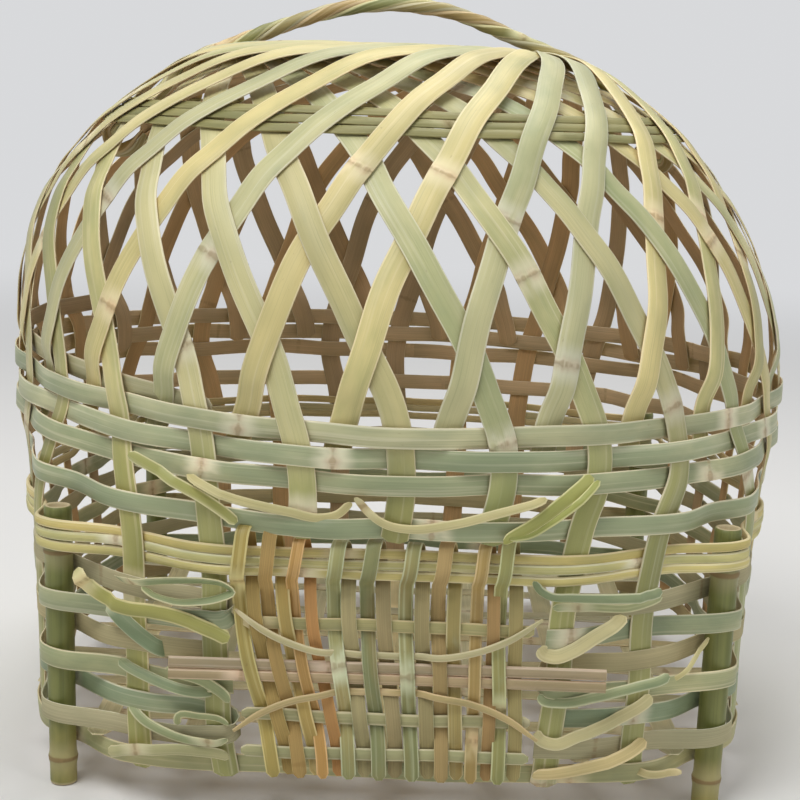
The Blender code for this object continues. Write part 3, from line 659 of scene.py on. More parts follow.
def chain_mesh(name, line, ring, fullness):
    """A chain of points and edges that remembers the way out and the fullness at each point."""
    mesh = bpy.data.meshes.new(name)
    count = len(line)
    edges = [(index, (index + 1) % count) for index in range(count if ring else count - 1)]
    mesh.from_pydata([tuple(point) for point, across, out in line], edges, [])
    outs = mesh.attributes.new("out", "FLOAT_VECTOR", "POINT")
    outs.data.foreach_set("vector", [value for point, across, out in line for value in out])
    full = mesh.attributes.new("fullness", "FLOAT", "POINT")
    full.data.foreach_set("value", fullness)
    return mesh


def sweep_splint(
    name, line, ring, width, thickness, finish, green=0.5, tint=(1, 1, 1), tip=0.0, spread=0.10
):
    """One dressed splint along a line of (middle, across, out); tip is how long its tips run out."""
    lengths = [0]
    for here, there in zip(line, line[1:]):
        lengths.append(lengths[-1] + (there[0] - here[0]).length)
    total = lengths[-1]
    start = chance.uniform(0, LONGEST_START)
    fullness = []
    for length in lengths:
        to_node = abs(((length + start) / NODE_PITCH) % 1 - 0.5) * NODE_PITCH
        full = 1 + NODE_BULGE * exp(-((to_node / NODE_BULGE_LENGTH) ** 2))
        full += WAVER * sin((length + start) * WAVER_RATE)
        if tip and not ring:
            full *= 1 - TIP_LOSS * max(0, 1 - min(length, total - length) / tip) ** 2
        fullness.append(full)
    shade = 1 + chance.uniform(-spread, spread)
    warmth = chance.uniform(-spread, spread) * 0.5
    colour = (tint[0] * shade * (1 + warmth), tint[1] * shade, tint[2] * shade * (1 - warmth * 1.6), 1)
    values = (width, thickness, start, green, colour, finish)
    inputs = dict(zip(SPLINT_INPUTS, values))
    return run_tree(name, SPLINT_TREE, chain_mesh(name, line, ring, fullness), inputs)


def join_pieces(name, parts):
    """Several plain meshes as one piece."""
    with bpy.context.temp_override(active_object=parts[0], selected_editable_objects=parts):
        bpy.ops.object.join()
    parts[0].name = name
    parts[0].data.name = name
    return parts[0]


def settle(piece, body, slot, *nodes):
    """Puts a finished piece on its body and hides the nodes it stands for. The slot is not used."""
    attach(piece, body)
    if nodes:
        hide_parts(*nodes)
    return piece


def skin_outwards(line, share=1.0):
    """Turns the stations' way out so that the skin looks away from the cage's middle."""
    total = 0
    for middle, across, out in line[: max(2, int(len(line) * share))]:
        total += out.dot(middle - CAGE_MIDDLE)
    if total < 0:
        line = [(middle, across, -out) for middle, across, out in line]
    return line


def seam_to_back(stations):
    """Starts a ring's stations at the back, where its seam is least seen."""
    first = max(range(len(stations)), key=lambda index: stations[index][0].y)
    return stations[first:] + stations[:first]


def dress_strip(node, piece_name, finish, slot, body="cage", **looks):
    """Replaces one strip of the frame with a splint that runs where it runs."""
    stations, ring = measure_strip(node)
    if ring:
        stations = seam_to_back(stations)
    share = looks.pop("skin_share", 1.0)
    reach = looks.pop("sway", 0)
    move = looks.pop("move", None)
    if move:
        stations = [[move(station[0]), *station[1:]] for station in stations]
    line = sway(skin_outwards(smooth_stations(stations, ring), share=share), reach)
    width = sum(station[3] for station in stations) / len(stations) * looks.pop("breadth", 1)
    thickness = sum(station[4] for station in stations) / len(stations)
    piece = sweep_splint(piece_name, line, ring, width, thickness, finish, **looks)
    return settle(piece, body, slot, node)


print("sweep tree inputs:", list(SPLINT_INPUTS))

# %% [markdown]
# ## A hand-woven form isn't even
#
# The frame is even all round. The real cage isn't: its dome leans a little to the left, the posts
# lean outwards, the sides are drawn in between them, and the bands climb towards the left. One field
# of small smooth shifts bends the whole weave. The bands, the stakes, the handle and the door have
# shifts of their own on top, so some dressed splints cut a little into each other where they cross.

# %% Uneven form
DOME_LEAN = 0.011
LEAN_FROM, LEAN_TO = 0.262, 0.400
SIDE_DRAW = 0.0075
DRAWN_FROM, DRAWN_TO = 0.19, 0.25
BETWEEN_FROM, BETWEEN_TO = 0.11, 0.19
FLOOR_FROM, FLOOR_TO = 0.03, 0.07
FOOT_SPREAD, TOP_SPREAD = 0.0060, 0.0098
CORNER_FROM, CORNER_TO = 0.165, 0.205
WALL_TOP, WALL_END = 0.19, 0.24
BAND_CLIMB = 0.011
STAKE_TRIM = 0.008
TRIM_FROM, TRIM_TO = 0.022, 0.046


def soft_step(value, low, high):
    """0 below low, 1 above high and a smooth slope between them."""
    share = min(1, max(0, (value - low) / (high - low)))
    return share * share * (3 - 2 * share)


def hand_form(spot):
    """Where a point of the even frame lies on the uneven cage."""
    lean = DOME_LEAN * soft_step(spot.z, LEAN_FROM, LEAN_TO)
    between_posts = 1 - soft_step(abs(spot.y), BETWEEN_FROM, BETWEEN_TO)
    below_top = 1 - soft_step(spot.z, WALL_TOP, WALL_END)
    off_floor = soft_step(spot.z, FLOOR_FROM, FLOOR_TO)
    at_side = soft_step(abs(spot.x), DRAWN_FROM, DRAWN_TO)
    drawn = SIDE_DRAW * at_side * between_posts * off_floor * below_top
    in_corner = soft_step(abs(spot.x), CORNER_FROM, CORNER_TO)
    in_corner *= soft_step(abs(spot.y), CORNER_FROM, CORNER_TO)
    spread = FOOT_SPREAD + (TOP_SPREAD - FOOT_SPREAD) * min(1, max(0, spot.z / WALL_TOP))
    outwards = spread * in_corner * below_top - drawn
    return Vector((spot.x - lean + (outwards if spot.x > 0 else -outwards), spot.y, spot.z))


def band_form(spot):
    """The bands also climb a little towards the left."""
    climb = BAND_CLIMB * max(0, spot.x / frame_low.x) ** 2
    return hand_form(spot) + Vector((0, 0, climb))


def stake_form(spot):
    """The dome's splints end as stakes, cut level with the lowest weaver."""
    trim = STAKE_TRIM * (1 - soft_step(spot.z, TRIM_FROM, TRIM_TO))
    return hand_form(spot) + Vector((0, 0, trim))


print("the dome leans by", DOME_LEAN * 1000, "mm")

# %% [markdown]
# ## The dome
#
# Twenty-eight splints make the dome. Each comes up from the wall as a stake, leans over, passes beside
# the mouth at the top and comes down again on the far side, and they cross each other all the way.
# They are green on the outside. No two were cut alike, so each gets its own tint: most are a pale
# yellow-green, some lean to straw and some to grey-green.

# %% Dome splints
DOME_GREENS = (0.15, 0.25, 0.35, 0.45, 0.55, 0.7)
DOME_NODES = sorted(name for name in frame["nodes"] if name.startswith("dome_strip"))
for node in DOME_NODES:
    green = chance.choice(DOME_GREENS)
    looks = {"green": green, "tip": 0.002, "sway": 0.0018, "spread": 0.13, "move": stake_form}
    dress_strip(node, node.replace("strip", "splint"), DOME_FINISH, "dome_green", **looks)
print("dome splints:", len(DOME_NODES))

# %% [markdown]
# ## Bands and wall weavers
#
# Four grey-green bands hold the dome's shoulder. Below them the wall is woven back and forth from one
# side of the doorway to the other: each weaver turns round at the doorway and comes back a row lower,
# so its skin faces out on one row and in on the next.

# %% Bands and weavers
rings = []
for number in range(1, 5):
    looks = {"green": 0.42 + 0.11 * number, "tint": (1.12, 1.12, 1.15), "spread": 0.06, "sway": 0.0008}
    looks["move"] = band_form
    names = f"shoulder_band_{number}", f"band_splint_{number}"
    rings.append(dress_strip(*names, BAND_FINISH, "band_grey_green", **looks))
for number in range(1, 4):
    looks = {"green": 0.35 + 0.15 * number, "skin_share": 0.4, "sway": 0.0017, "move": hand_form}
    names = f"wall_weaver_{number}", f"wall_splint_{number}"
    rings.append(dress_strip(*names, WALL_FINISH, "weaver_green", **looks))
looks = {"green": 0.5, "sway": 0.0012, "move": hand_form}
rings.append(dress_strip("sill_weaver", "sill_splint", WALL_FINISH, "weaver_green", **looks))
looks = {"green": 0.35, "tip": 0.02, "tint": (0.45, 0.47, 0.33), "sway": 0.0011, "move": hand_form}
rings.append(dress_strip("top_hoop", "hoop_splint", PALE_FINISH, "hoop_yellow", **looks))
print("bands, weavers and hoop:", len(rings))

# %% [markdown]
# One more band runs inside the dome's splints at the left, a little above the others. It only shows
# in the gaps between the splints, so the frame doesn't have it.

# %% Inner band
INNER_RADIUS = 0.2755
INNER_HEIGHT = 0.2720
INNER_WIDTH = 0.0130
INNER_FROM, INNER_TO = radians(150), radians(246)
INNER_STEPS = 24
INNER_DROP = 0.012


def make_inner_band():
    stations = []
    for step in range(INNER_STEPS + 1):
        share = step / INNER_STEPS
        turn = INNER_FROM + (INNER_TO - INNER_FROM) * step / INNER_STEPS
        away = Vector((cos(turn), sin(turn), 0))
        spot = band_form(away * INNER_RADIUS + Vector((0, 0, INNER_HEIGHT - INNER_DROP * share**4)))
        stations.append([spot, Vector((0, 0, 1)), away])
    line = sway(smooth_stations(stations, False), 0.0008)
    thickness = measure_strip("shoulder_band_1")[0][0][4]
    looks = {"green": 0.2, "tip": 0.004, "tint": (0.70, 0.72, 0.78)}
    band = sweep_splint("inner_band", line, False, INNER_WIDTH, thickness, BAND_FINISH, **looks)
    return settle(band, "cage", "band_grey_green")


print("inner band:", len(make_inner_band().data.polygons), "faces")

# %% [markdown]
# ## The header rail
#
# The rail over the doorway isn't one board. It is three narrow splints lying on each other, with
# dark lines between them. They follow the frame's one rail, each moved up or down by a third of it.

# %% Header rail
RAIL_SPLINTS = 3
RAIL_WIDTH_SHARE, RAIL_THICKNESS_SHARE = 0.93, 0.9
LONG_STRETCH = 0.060


def dress_rail():
    stations, ring = measure_strip("header_rail")
    stations = hold_straight(seam_to_back(stations), ring, LONG_STRETCH)
    stations = [[hand_form(station[0]), *station[1:]] for station in stations]
    line = skin_outwards(smooth_stations(stations, ring))
    width, thickness = stations[0][3], stations[0][4]
    parts = []
    for number in range(RAIL_SPLINTS):
        offset = ((number + 0.5) / RAIL_SPLINTS - 0.5) * width
        moved = []
        for index, (middle, across, out) in enumerate(line):
            drift = 0.0005 * sin(index * 0.083 + number * 2.1) + 0.0003 * sin(index * 0.21 + number)
            moved.append((middle + across * (offset + drift) + out * (drift * 0.8), across, out))
        looks = {"green": 0.45, "spread": 0.15}
        size = (width / RAIL_SPLINTS * RAIL_WIDTH_SHARE, thickness * RAIL_THICKNESS_SHARE)
        parts.append(sweep_splint(f"rail_{number}", moved, ring, *size, RAIL_FINISH, **looks))
    return settle(join_pieces("rail_splints", parts), "cage", "rail_tan", "header_rail")


print("rail:", dress_rail().name)

# %% [markdown]
# ## Corner posts
#
# Each corner stands on a piece of whole cane, olive green and hollow. Its wall is drawn as half an
# outline and spun round: up the outside with a swelling at each node, over the cut top and a little
# way down inside to the next node's floor.

# %% Corner posts
CANE_WALL = 0.0030
CANE_SWELL = 0.0010
CANE_WELL_DEPTH = 0.020
CANE_NODE_HEIGHTS = (0.018, 0.158)
CANE_RING_LENGTH = 0.0026
CANE_STEPS, CANE_TURNS = 70, 44


def cane_finish():
    """Olive skin that yellows towards the foot, with a pale bloom and a brown ring at each node."""
    material, tree = new_finish("post_cane")
    x, y, z = split(add(tree, "ShaderNodeTexCoord", None, None, 3))
    hairs = cloud(place(x * 900, y * 900, z * 14), 1.0, 3.0, 0.6)
    streaks = cloud(place(x * 200, y * 200, z * 5), 1.0, 2.0, 0.5)
    patches = cloud(place(x * 40, y * 40, z * 26), 1.0, 3.0, 0.6)
    low, high = CANE_NODE_HEIGHTS
    wobble = (patches - 0.5) * 0.003
    to_node = z.math("MINIMUM", (z - low).size(), (z - high).size()) + wobble
    ring = to_node.rise(0.0022, 0.0008)
    bloom = to_node.rise(0.016, 0.003)
    depth = (streaks * 0.8 + patches * 0.4).rise(0.25, 0.85)
    skin = depth.pick((0.120, 0.138, 0.028), (0.215, 0.226, 0.066))
    lined = (hairs.rise(0.52, 0.30) * 0.30).pick(skin, (0.09, 0.11, 0.03))
    at_foot = z.rise(0.060, 0.012) * patches.rise(0.2, 0.7) * 0.8
    yellowed = at_foot.pick(lined, (0.42, 0.34, 0.10))
    bloomed = (bloom * 0.40).pick(yellowed, (0.50, 0.44, 0.24))
    ringed = (ring * 0.8).pick(bloomed, (0.24, 0.15, 0.06))
    cut = attribute(tree, "cut")
    wood = hairs.pick((0.50, 0.40, 0.22), (0.66, 0.56, 0.36))
    colour = cut.pick(ringed, wood)
    rough = 0.36 + hairs * 0.14 + cut * 0.35 + ring * 0.2
    height = streaks * 0.5 + hairs * 0.25 + ring * 0.8
    return end_finish(material, colour, rough, 0.45, height, 0.5, 0.0006)


CANE_FINISH = cane_finish()


def make_post(number):
    low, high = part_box(f"corner_post_{number}")
    centre = (low + high) / 2
    radius = (high.x - low.x) / 2 - CANE_SWELL
    outline = [(0, low.z + 0.0015), (radius * 0.55, low.z + 0.0010)]
    outline += [(radius - 0.0016, low.z), (radius - 0.0004, low.z + 0.0008)]
    for step in range(1, CANE_STEPS):
        height = low.z + (high.z - low.z) * step / CANE_STEPS
        swell = sum(exp(-(((height - node) / CANE_RING_LENGTH) ** 2)) for node in CANE_NODE_HEIGHTS)
        outline.append((radius * (1 - 0.02 * sin(height * 31 + number)) + CANE_SWELL * swell, height))
    outline += [(radius - 0.0006, high.z - 0.0004), (radius - 0.0012, high.z)]
    inner = radius - CANE_WALL
    outline += [(inner + 0.0008, high.z), (inner, high.z - 0.0010), (inner, high.z - CANE_WELL_DEPTH)]
    outline += [(inner * 0.5, high.z - CANE_WELL_DEPTH - 0.0015), (0, high.z - CANE_WELL_DEPTH - 0.0020)]
    shape = bmesh.new()
    made = [shape.verts.new((distance, 0, height)) for distance, height in outline]
    edges = [shape.edges.new(pair) for pair in zip(made, made[1:])]
    turn = {"axis": (0, 0, 1), "cent": (0, 0, 0), "steps": CANE_TURNS, "angle": 2 * pi}
    bmesh.ops.spin(shape, geom=made + edges, **turn)
    bmesh.ops.remove_doubles(shape, verts=shape.verts, dist=1e-5)
    bmesh.ops.recalc_face_normals(shape, faces=shape.faces)
    cut = shape.verts.layers.float.new("cut")
    for vertex in shape.verts:
        distance = Vector((vertex.co.x, vertex.co.y)).length
        at_end = vertex.co.z > high.z - 0.0003 or vertex.co.z < low.z + 0.0012
        vertex[cut] = float(at_end or distance < inner + 0.0009)
        vertex.co += hand_form(Vector((centre.x, centre.y, vertex.co.z))) - Vector((0, 0, vertex.co.z))
    for face in shape.faces:
        face.smooth = True
    mesh = bpy.data.meshes.new(f"post_{number}")
    shape.to_mesh(mesh)
    shape.free()
    mesh.materials.append(CANE_FINISH)
    post = bpy.data.objects.new(f"post_cane_{number}", mesh)
    bpy.context.scene.collection.objects.link(post)
    return settle(post, "cage", "post_olive", f"corner_post_{number}")


print("posts:", len([make_post(number) for number in range(1, 5)]))

# %% [markdown]
# ## The floor mat
#
# The floor is an open grid of wide slats. The frame has it as one flat grid. Here each slat is its
# own splint, and it passes over one neighbour and under the next by its own thickness.

# %% Floor mat
MAT_SLATS = 7
MAT_PITCH = 0.0620
MAT_SLAT_WIDTH = 0.016
MAT_SLAT_THICKNESS = 0.0012
MAT_LIFT = MAT_SLAT_THICKNESS * 0.55
MAT_STEP = 0.008


def make_mat():
    low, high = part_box("floor_mat")
    level = (low.z + high.z) / 2
    spots = [vertex.co for vertex in frame["nodes"]["floor_mat"].data.vertices]
    parts = []
    for lengthwise in (0, 1):
        for slat in range(MAT_SLATS):
            off = (slat - (MAT_SLATS - 1) / 2) * MAT_PITCH
            near = [spot for spot in spots if abs(spot[1 - lengthwise] - off) < MAT_SLAT_WIDTH * 0.6]
            first, last = min(spot[lengthwise] for spot in near), max(spot[lengthwise] for spot in near)
            stations = []
            steps = ceil((last - first) / (MAT_PITCH / 4))
            for step in range(steps + 1):
                run = first + (last - first) * step / steps
                wave = cos(pi * run / MAT_PITCH + pi * (slat + lengthwise))
                spot = Vector((run, off, level)) if lengthwise == 0 else Vector((off, run, level))
                spot.z += wave * MAT_LIFT
                across = Vector((0, 1, 0)) if lengthwise == 0 else Vector((1, 0, 0))
                stations.append([spot, across, Vector((0, 0, 1))])
            line = smooth_stations(stations, False, MAT_STEP)
            looks = {"green": 0.3, "spread": 0.14, "tip": 0.005}
            size = (MAT_SLAT_WIDTH, MAT_SLAT_THICKNESS)
            parts.append(sweep_splint(f"slat_{slat}", line, False, *size, PALE_FINISH, **looks))
    return settle(join_pieces("mat_splints", parts), "cage", "mat_pale", "floor_mat")


print("mat:", make_mat().name)

# %% [markdown]
# ## The twisted handle
#
# Two long splints, twisted round each other while they were still wet, make the handle. The frame has
# two plain rods that turn slowly. Their common middle line is found again, ring by ring, and three
# flat strands are wound tightly round it.

# %% Handle
TWIST_PITCH = 0.098
STRAND_WIDTH = 0.0074
STRAND_THICKNESS = 0.0036
STRAND_GREENS = (0.10, 0.60, 0.3)
STRAND_TINTS = ((0.98, 0.98, 0.92), (0.94, 1.00, 0.86), (1.06, 0.90, 0.74))
STRAND_OFF, STRAND_OFF_WAVER = 0.0029, 0.0004
HANDLE_STEP = 0.0025
HANDLE_SINK, SINK_FROM, SINK_TO = 0.010, 0.03, 0.13
HANDLE_DIVE, DIVE_FROM, DIVE_TO = 0.008, 0.160, 0.185


def sink_handle(spot):
    """The handle hugs the dome towards its ends and goes in between the splints there."""
    reach = abs(spot.x)
    depth = HANDLE_SINK * soft_step(reach, SINK_FROM, SINK_TO)
    depth += HANDLE_DIVE * soft_step(reach, DIVE_FROM, DIVE_TO)
    inwards = Vector((-spot.x * 0.9, 0, -0.16)).normalized()
    return hand_form(spot + inwards * depth)


def rod_rings(node):
    """The middles of a six-sided rod's rings, from one end to the other."""
    shape = welded(node)
    bmesh.ops.dissolve_limit(shape, angle_limit=radians(1), verts=shape.verts, edges=shape.edges)
    shape.verts.index_update()
    ends = [face for face in shape.faces if len(face.verts) == 6]
    start = min(ends, key=lambda face: face.calc_center_median().x)
    level = list(start.verts)
    seen = set(level)
    middles = []
    while level:
        middles.append(sum((vertex.co for vertex in level), Vector()) / len(level))
        onward = {edge.other_vert(vertex) for vertex in level for edge in vertex.link_edges} - seen
        seen |= onward
        level = sorted(onward, key=lambda vertex: vertex.index)
    shape.free()
    return middles


def make_handle():
    first, second = rod_rings("handle_strand_1"), rod_rings("handle_strand_2")
    middles = [sink_handle((a + b) / 2) for a, b in zip(first, second)]
    side = (middles[-1] - middles[0]).cross(Vector((0, 0, 1))).normalized()
    stations = []
    for index, middle in enumerate(middles):
        ahead = middles[min(index + 1, len(middles) - 1)] - middles[max(index - 1, 0)]
        out = side.cross(ahead).normalized()
        stations.append([middle, side, out])
    core = smooth_stations(stations, False, HANDLE_STEP)
    parts = []
    travelled = 0
    angles = []
    for index, (middle, across, out) in enumerate(core):
        if index:
            travelled += (middle - core[index - 1][0]).length
        angles.append(2 * pi * travelled / TWIST_PITCH + 0.25 * sin(travelled * 37))
    for strand in range(len(STRAND_TINTS)):
        line = []
        for (middle, across, out), angle in zip(core, angles):
            turned = angle + 2 * pi * strand / len(STRAND_TINTS)
            away = across * cos(turned) + out * sin(turned)
            along = across * -sin(turned) + out * cos(turned)
            off = STRAND_OFF + STRAND_OFF_WAVER * sin(angle * 1.7 + strand)
            line.append((middle + away * off, along, away))
        looks = {"green": STRAND_GREENS[strand], "spread": 0.10, "tip": 0.02, "tint": STRAND_TINTS[strand]}
        size = (STRAND_WIDTH, STRAND_THICKNESS)
        parts.append(sweep_splint(f"strand_{strand}", line, False, *size, YELLOW_FINISH, **looks))
    piece = join_pieces("handle_twist", parts)
    return settle(piece, "cage", "handle_tan", "handle_strand_1", "handle_strand_2"), len(middles)


print("handle stations:", make_handle()[1])

# %% [markdown]
# ## The door
#
# Nine splints hang over the rail like hairpins, so eighteen legs reach down. They were split from
# another cane than the walls: orange and straw at the left, grey-green in the middle, tan at the
# right. Three straight splints cross them, and two thin springy ones bow across to the walls.

# %% Door splints
DOOR_GREENS = (0.35, 0.20, 0.05, 0.40, 0.50, 0.55, 0.30, 0.15, 0.55)
DOOR_TINTS = (
    (0.98, 0.96, 0.67),
    (1.00, 0.91, 0.65),
    (1.08, 0.79, 0.56),
    (0.86, 0.99, 0.96),
    (0.86, 0.97, 1.00),
    (0.83, 0.95, 0.91),
    (0.93, 0.90, 0.75),
    (0.97, 0.86, 0.71),
    (0.83, 0.93, 0.78),
)
LOOP_SHIFTS = (-0.0110, -0.0125, -0.0155, -0.0105, -0.0090, -0.0045, -0.0045, 0.0, -0.0060)
FOOT_SHIFTS = (0.015, 0.012, 0.007, 0.003, 0.002, 0.002, 0.001, 0.0, -0.002)
LOOP_RISES = (0.011, 0.011, 0.006, 0.004, 0.005, 0.004, 0.005, 0.005, 0.009)
DOOR_BREADTHS = (1.10, 1.08, 0.94, 1.15, 1.16, 1.15, 1.12, 1.00, 1.08)
LOOP_FORWARD = 0.003
PINCH_SHARE = 0.45
LOOP_SHIFT_FULL = 0.85
BOW_TINTS = ((0.92, 0.90, 0.84), (0.76, 0.68, 0.60))


def door_hang(number):
    """How one hairpin hangs: its loop stands off the rail and its legs lean in towards their feet."""
    low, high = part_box(f"door_strip_{number}")
    rail_low, rail_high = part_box("header_rail")
    hinge = Vector((0, (low.y + high.y) / 2, (rail_low.z + rail_high.z) / 2))
    radius = high.z - hinge.z

    def move(spot):
        climb = max(0, (spot.z - low.z) / (hinge.z - low.z))
        shift = LOOP_SHIFTS[number - 1] * soft_step(climb, 0.0, LOOP_SHIFT_FULL)
        shift += FOOT_SHIFTS[number - 1] * max(0, 1 - climb) ** 1.3
        above = soft_step((spot.z - hinge.z) / radius, 0, 1)
        depth = hinge.y + (spot.y - hinge.y) * (1 - PINCH_SHARE * above) - LOOP_FORWARD * above
        return Vector((spot.x + shift, depth, spot.z + LOOP_RISES[number - 1] * above))

    return move


door = []
for number, (green, tint, breadth) in enumerate(zip(DOOR_GREENS, DOOR_TINTS, DOOR_BREADTHS), 1):
    looks = {"green": green, "tint": tint, "breadth": breadth, "skin_share": 0.4, "tip": 0.003}
    looks |= {"spread": 0.07, "sway": 0.0008, "move": door_hang(number)}
    names = f"door_strip_{number}", f"door_splint_{number}"
    door.append(dress_strip(*names, YELLOW_FINISH, "door_yellow", "door", **looks))
for number in range(1, 4):
    # The tint makes the crossing splints darker and browner than the wall weavers. This is painted shade, for
    # the shadow that they lie in.
    looks = {"green": 0.4, "tip": 0.003, "tint": (0.82, 0.78, 0.70), "sway": 0.0008}
    names = f"door_weft_{number}", f"door_cross_{number}"
    door.append(dress_strip(*names, WALL_FINISH, "weft_pale", "door", **looks))
for number, tint in enumerate(BOW_TINTS, 1):
    looks = {"green": 0.4, "tip": 0.03, "tint": tint}
    names = f"door_bow_{number}", f"door_bow_splint_{number}"
    door.append(dress_strip(*names, PALE_FINISH, "weft_pale", "door", **looks))
print("door splints:", len(door))

# %% [markdown]
# ## The lock bar
#
# The bar is a piece of cane split in two, with both halves lying one above the other. Their backs are
# brown and their freshly cut edges are a pale pink.

# %% Lock bar
BAR_STEPS = 12
BAR_STEP = 0.006
BAR_WAVER = 0.0004
HALF_SHARE = 0.93


def make_bar():
    low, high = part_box("lock_bar")
    middle = (low + high) / 2
    height = (high.z - low.z) / 2
    parts = []
    for number, sign in enumerate((1, -1)):
        stations = []
        for step in range(BAR_STEPS + 1):
            run = low.x + (high.x - low.x) * step / BAR_STEPS
            lean = BAR_WAVER * sin(run * 17 + number * 1.4)
            spot = Vector((run, middle.y, middle.z + sign * height * 0.5 + lean))
            stations.append([spot, Vector((0, 0, 1)), Vector((0, -1, 0))])
        line = smooth_stations(stations, False, BAR_STEP)
        size = (height * HALF_SHARE, high.y - low.y)
        looks = {"green": 0.3, "spread": 0.08}
        parts.append(sweep_splint(f"half_{number}", line, False, *size, BAR_FINISH, **looks))
    return settle(join_pieces("bar_slats", parts), "lock_bar", "bar_brown", "lock_bar")


print("bar:", make_bar().name)

# %% [markdown]
# ## Loose and folded ends
#
# A hand-woven wall is full of ends. Weavers that turned round at the doorway stick out past it,
# some folded back, some split, and a few lie in the hollow above the rail. Each is listed by the
# places that it passes in millimetres, seen from the front. A ray is shot at the wall at every
# step, and the end is laid on whatever stands furthest out there.

# %% Loose ends
LOOSE_REACH = 4
CURL = 0.0035
TUCK = 0.0042
END_LENGTH = 0.012
MM = 1000
LAY_STEP = 0.0026
LOOSE_THICKNESS, LOOSE_LIFT = 0.0009, 0.0012
RAY_LENGTH = 0.85
LOOSE_ENDS = (
    # width in metres, turns, free ends, greenness, tint, finish, then places (right, up) in millimetres
    (0.0062, (20, 74), (False, False), 0.75, (0.94, 0.98, 0.94), "wall",
     (-172, 152), (-141, 157), (-125, 158), (-112, 158), (-101, 156), (-96, 152), (-103, 148),
     (-117, 144), (-132, 142), (-145, 144), (-154, 147)),
    (0.0095, (10, -8), (False, True), 0.15, (1.02, 1.02, 0.84), "dome",
     (-194, 160), (-187, 151), (-176, 143), (-163, 138), (-145, 136), (-132, 133), (-117, 128),
     (-98, 121)),
    (0.0100, (-18, -25), (False, False), 0.8, (0.90, 0.96, 0.94), "wall",
     (-177, 132), (-165, 123), (-151, 114), (-138, 106)),
    (0.0090, (15, 25), (False, True), 0.75, (0.94, 0.98, 0.90), "wall",
     (-138, 94), (-129, 95), (-117, 93), (-104, 86), (-97, 81)),
    (0.0050, (10, 20), (False, True), 0.6, (0.94, 0.98, 0.90), "wall",
     (-131, 59), (-130, 67), (-117, 67), (-104, 66), (-98, 64)),
    (0.0062, (-20, 30), (False, True), 0.7, (0.94, 0.98, 0.90), "wall",
     (-163, 67), (-152, 58), (-136, 52), (-116, 50), (-104, 51), (-99, 55)),
    (0.0075, (-15, 10), (False, True), 0.45, (0.92, 0.92, 0.84), "pale",
     (-178, 33), (-154, 41), (-136, 43), (-110, 42), (-98, 41)),
    (0.0070, (-30, -18), (False, False), 0.65, (0.88, 0.92, 0.86), "wall",
     (-170, 96), (-145, 88), (-131, 85), (-108, 83)),
    (0.0066, (35, -12), (True, False), 0.7, (0.92, 0.98, 0.94), "wall",
     (88, 167), (91, 161), (97, 157), (112, 156), (132, 156), (168, 158)),
    (0.0055, (-25, -20), (True, False), 0.5, (0.90, 0.92, 0.84), "wall",
     (100, 149), (123, 148), (147, 146), (170, 151)),
    (0.0090, (-18, -32), (True, False), 0.1, (1.12, 1.12, 1.06), "pale",
     (93.5, 123), (96, 118), (103, 116), (114, 120), (128, 130), (145, 142)),
    (0.0066, (-30, -10), (True, False), 0.7, (0.90, 0.96, 0.90), "wall",
     (94, 91), (97, 87), (108, 85), (128, 88), (155, 97), (176, 103)),
    (0.0078, (-25, -12), (True, False), 0.3, (1.04, 1.02, 0.92), "pale",
     (93.5, 66), (97, 60), (106, 57), (121, 63), (140, 70), (168, 84)),
    (0.0082, (15, -20), (True, False), 0.1, (1.12, 1.04, 0.90), "pale",
     (93.5, 36), (103, 35), (117, 37), (133, 41.5), (150, 47), (166, 54)),
    (0.0052, (-15, 5), (False, True), 0.2, (1.00, 0.96, 0.84), "pale",
     (160, 34), (169, 32), (180, 31), (191, 32)),
    (0.0034, (0, 10), (False, True), 0.1, (1.10, 1.10, 0.96), "pale",
     (181, 90), (190, 99), (198, 108), (206, 117)),
    (0.0085, (30, -10), (True, False), 0.2, (1.00, 1.04, 0.80), "dome",
     (67, 193), (75, 197), (89, 206), (102, 217), (120, 231)),
    (0.0050, (-20, -30), (True, False), 0.5, (0.92, 1.00, 0.78), "dome",
     (71, 194.5), (82, 196), (95, 204), (109, 215), (124, 229)),
    (0.0058, (-35, 25), (False, True), 0.3, (0.98, 0.96, 0.80), "pale",
     (-125, 223), (-92, 212), (-63, 206), (-42, 203), (-32, 206), (-25, 214)),
    (0.0056, (30, -38), (True, False), 0.35, (0.98, 0.98, 0.86), "pale",
     (-22, 218), (-15, 209), (-4, 201), (11, 198), (36, 202), (63, 210), (92, 219)),
    (0.0070, (-12, -20), (False, True), 0.3, (1.00, 1.04, 0.94), "dome",
     (-161, 235), (-142, 225), (-116, 211), (-94, 196.5)),
)


def wall_front(trees, x, z):
    """How far forward the wall stands at a place seen from the front, or None for a hole."""
    hits = [tree.ray_cast(Vector((x, -1, z)), Vector((0, 1, 0)), RAY_LENGTH)[0] for tree in trees]
    return min((hit.y for hit in hits if hit), default=None)


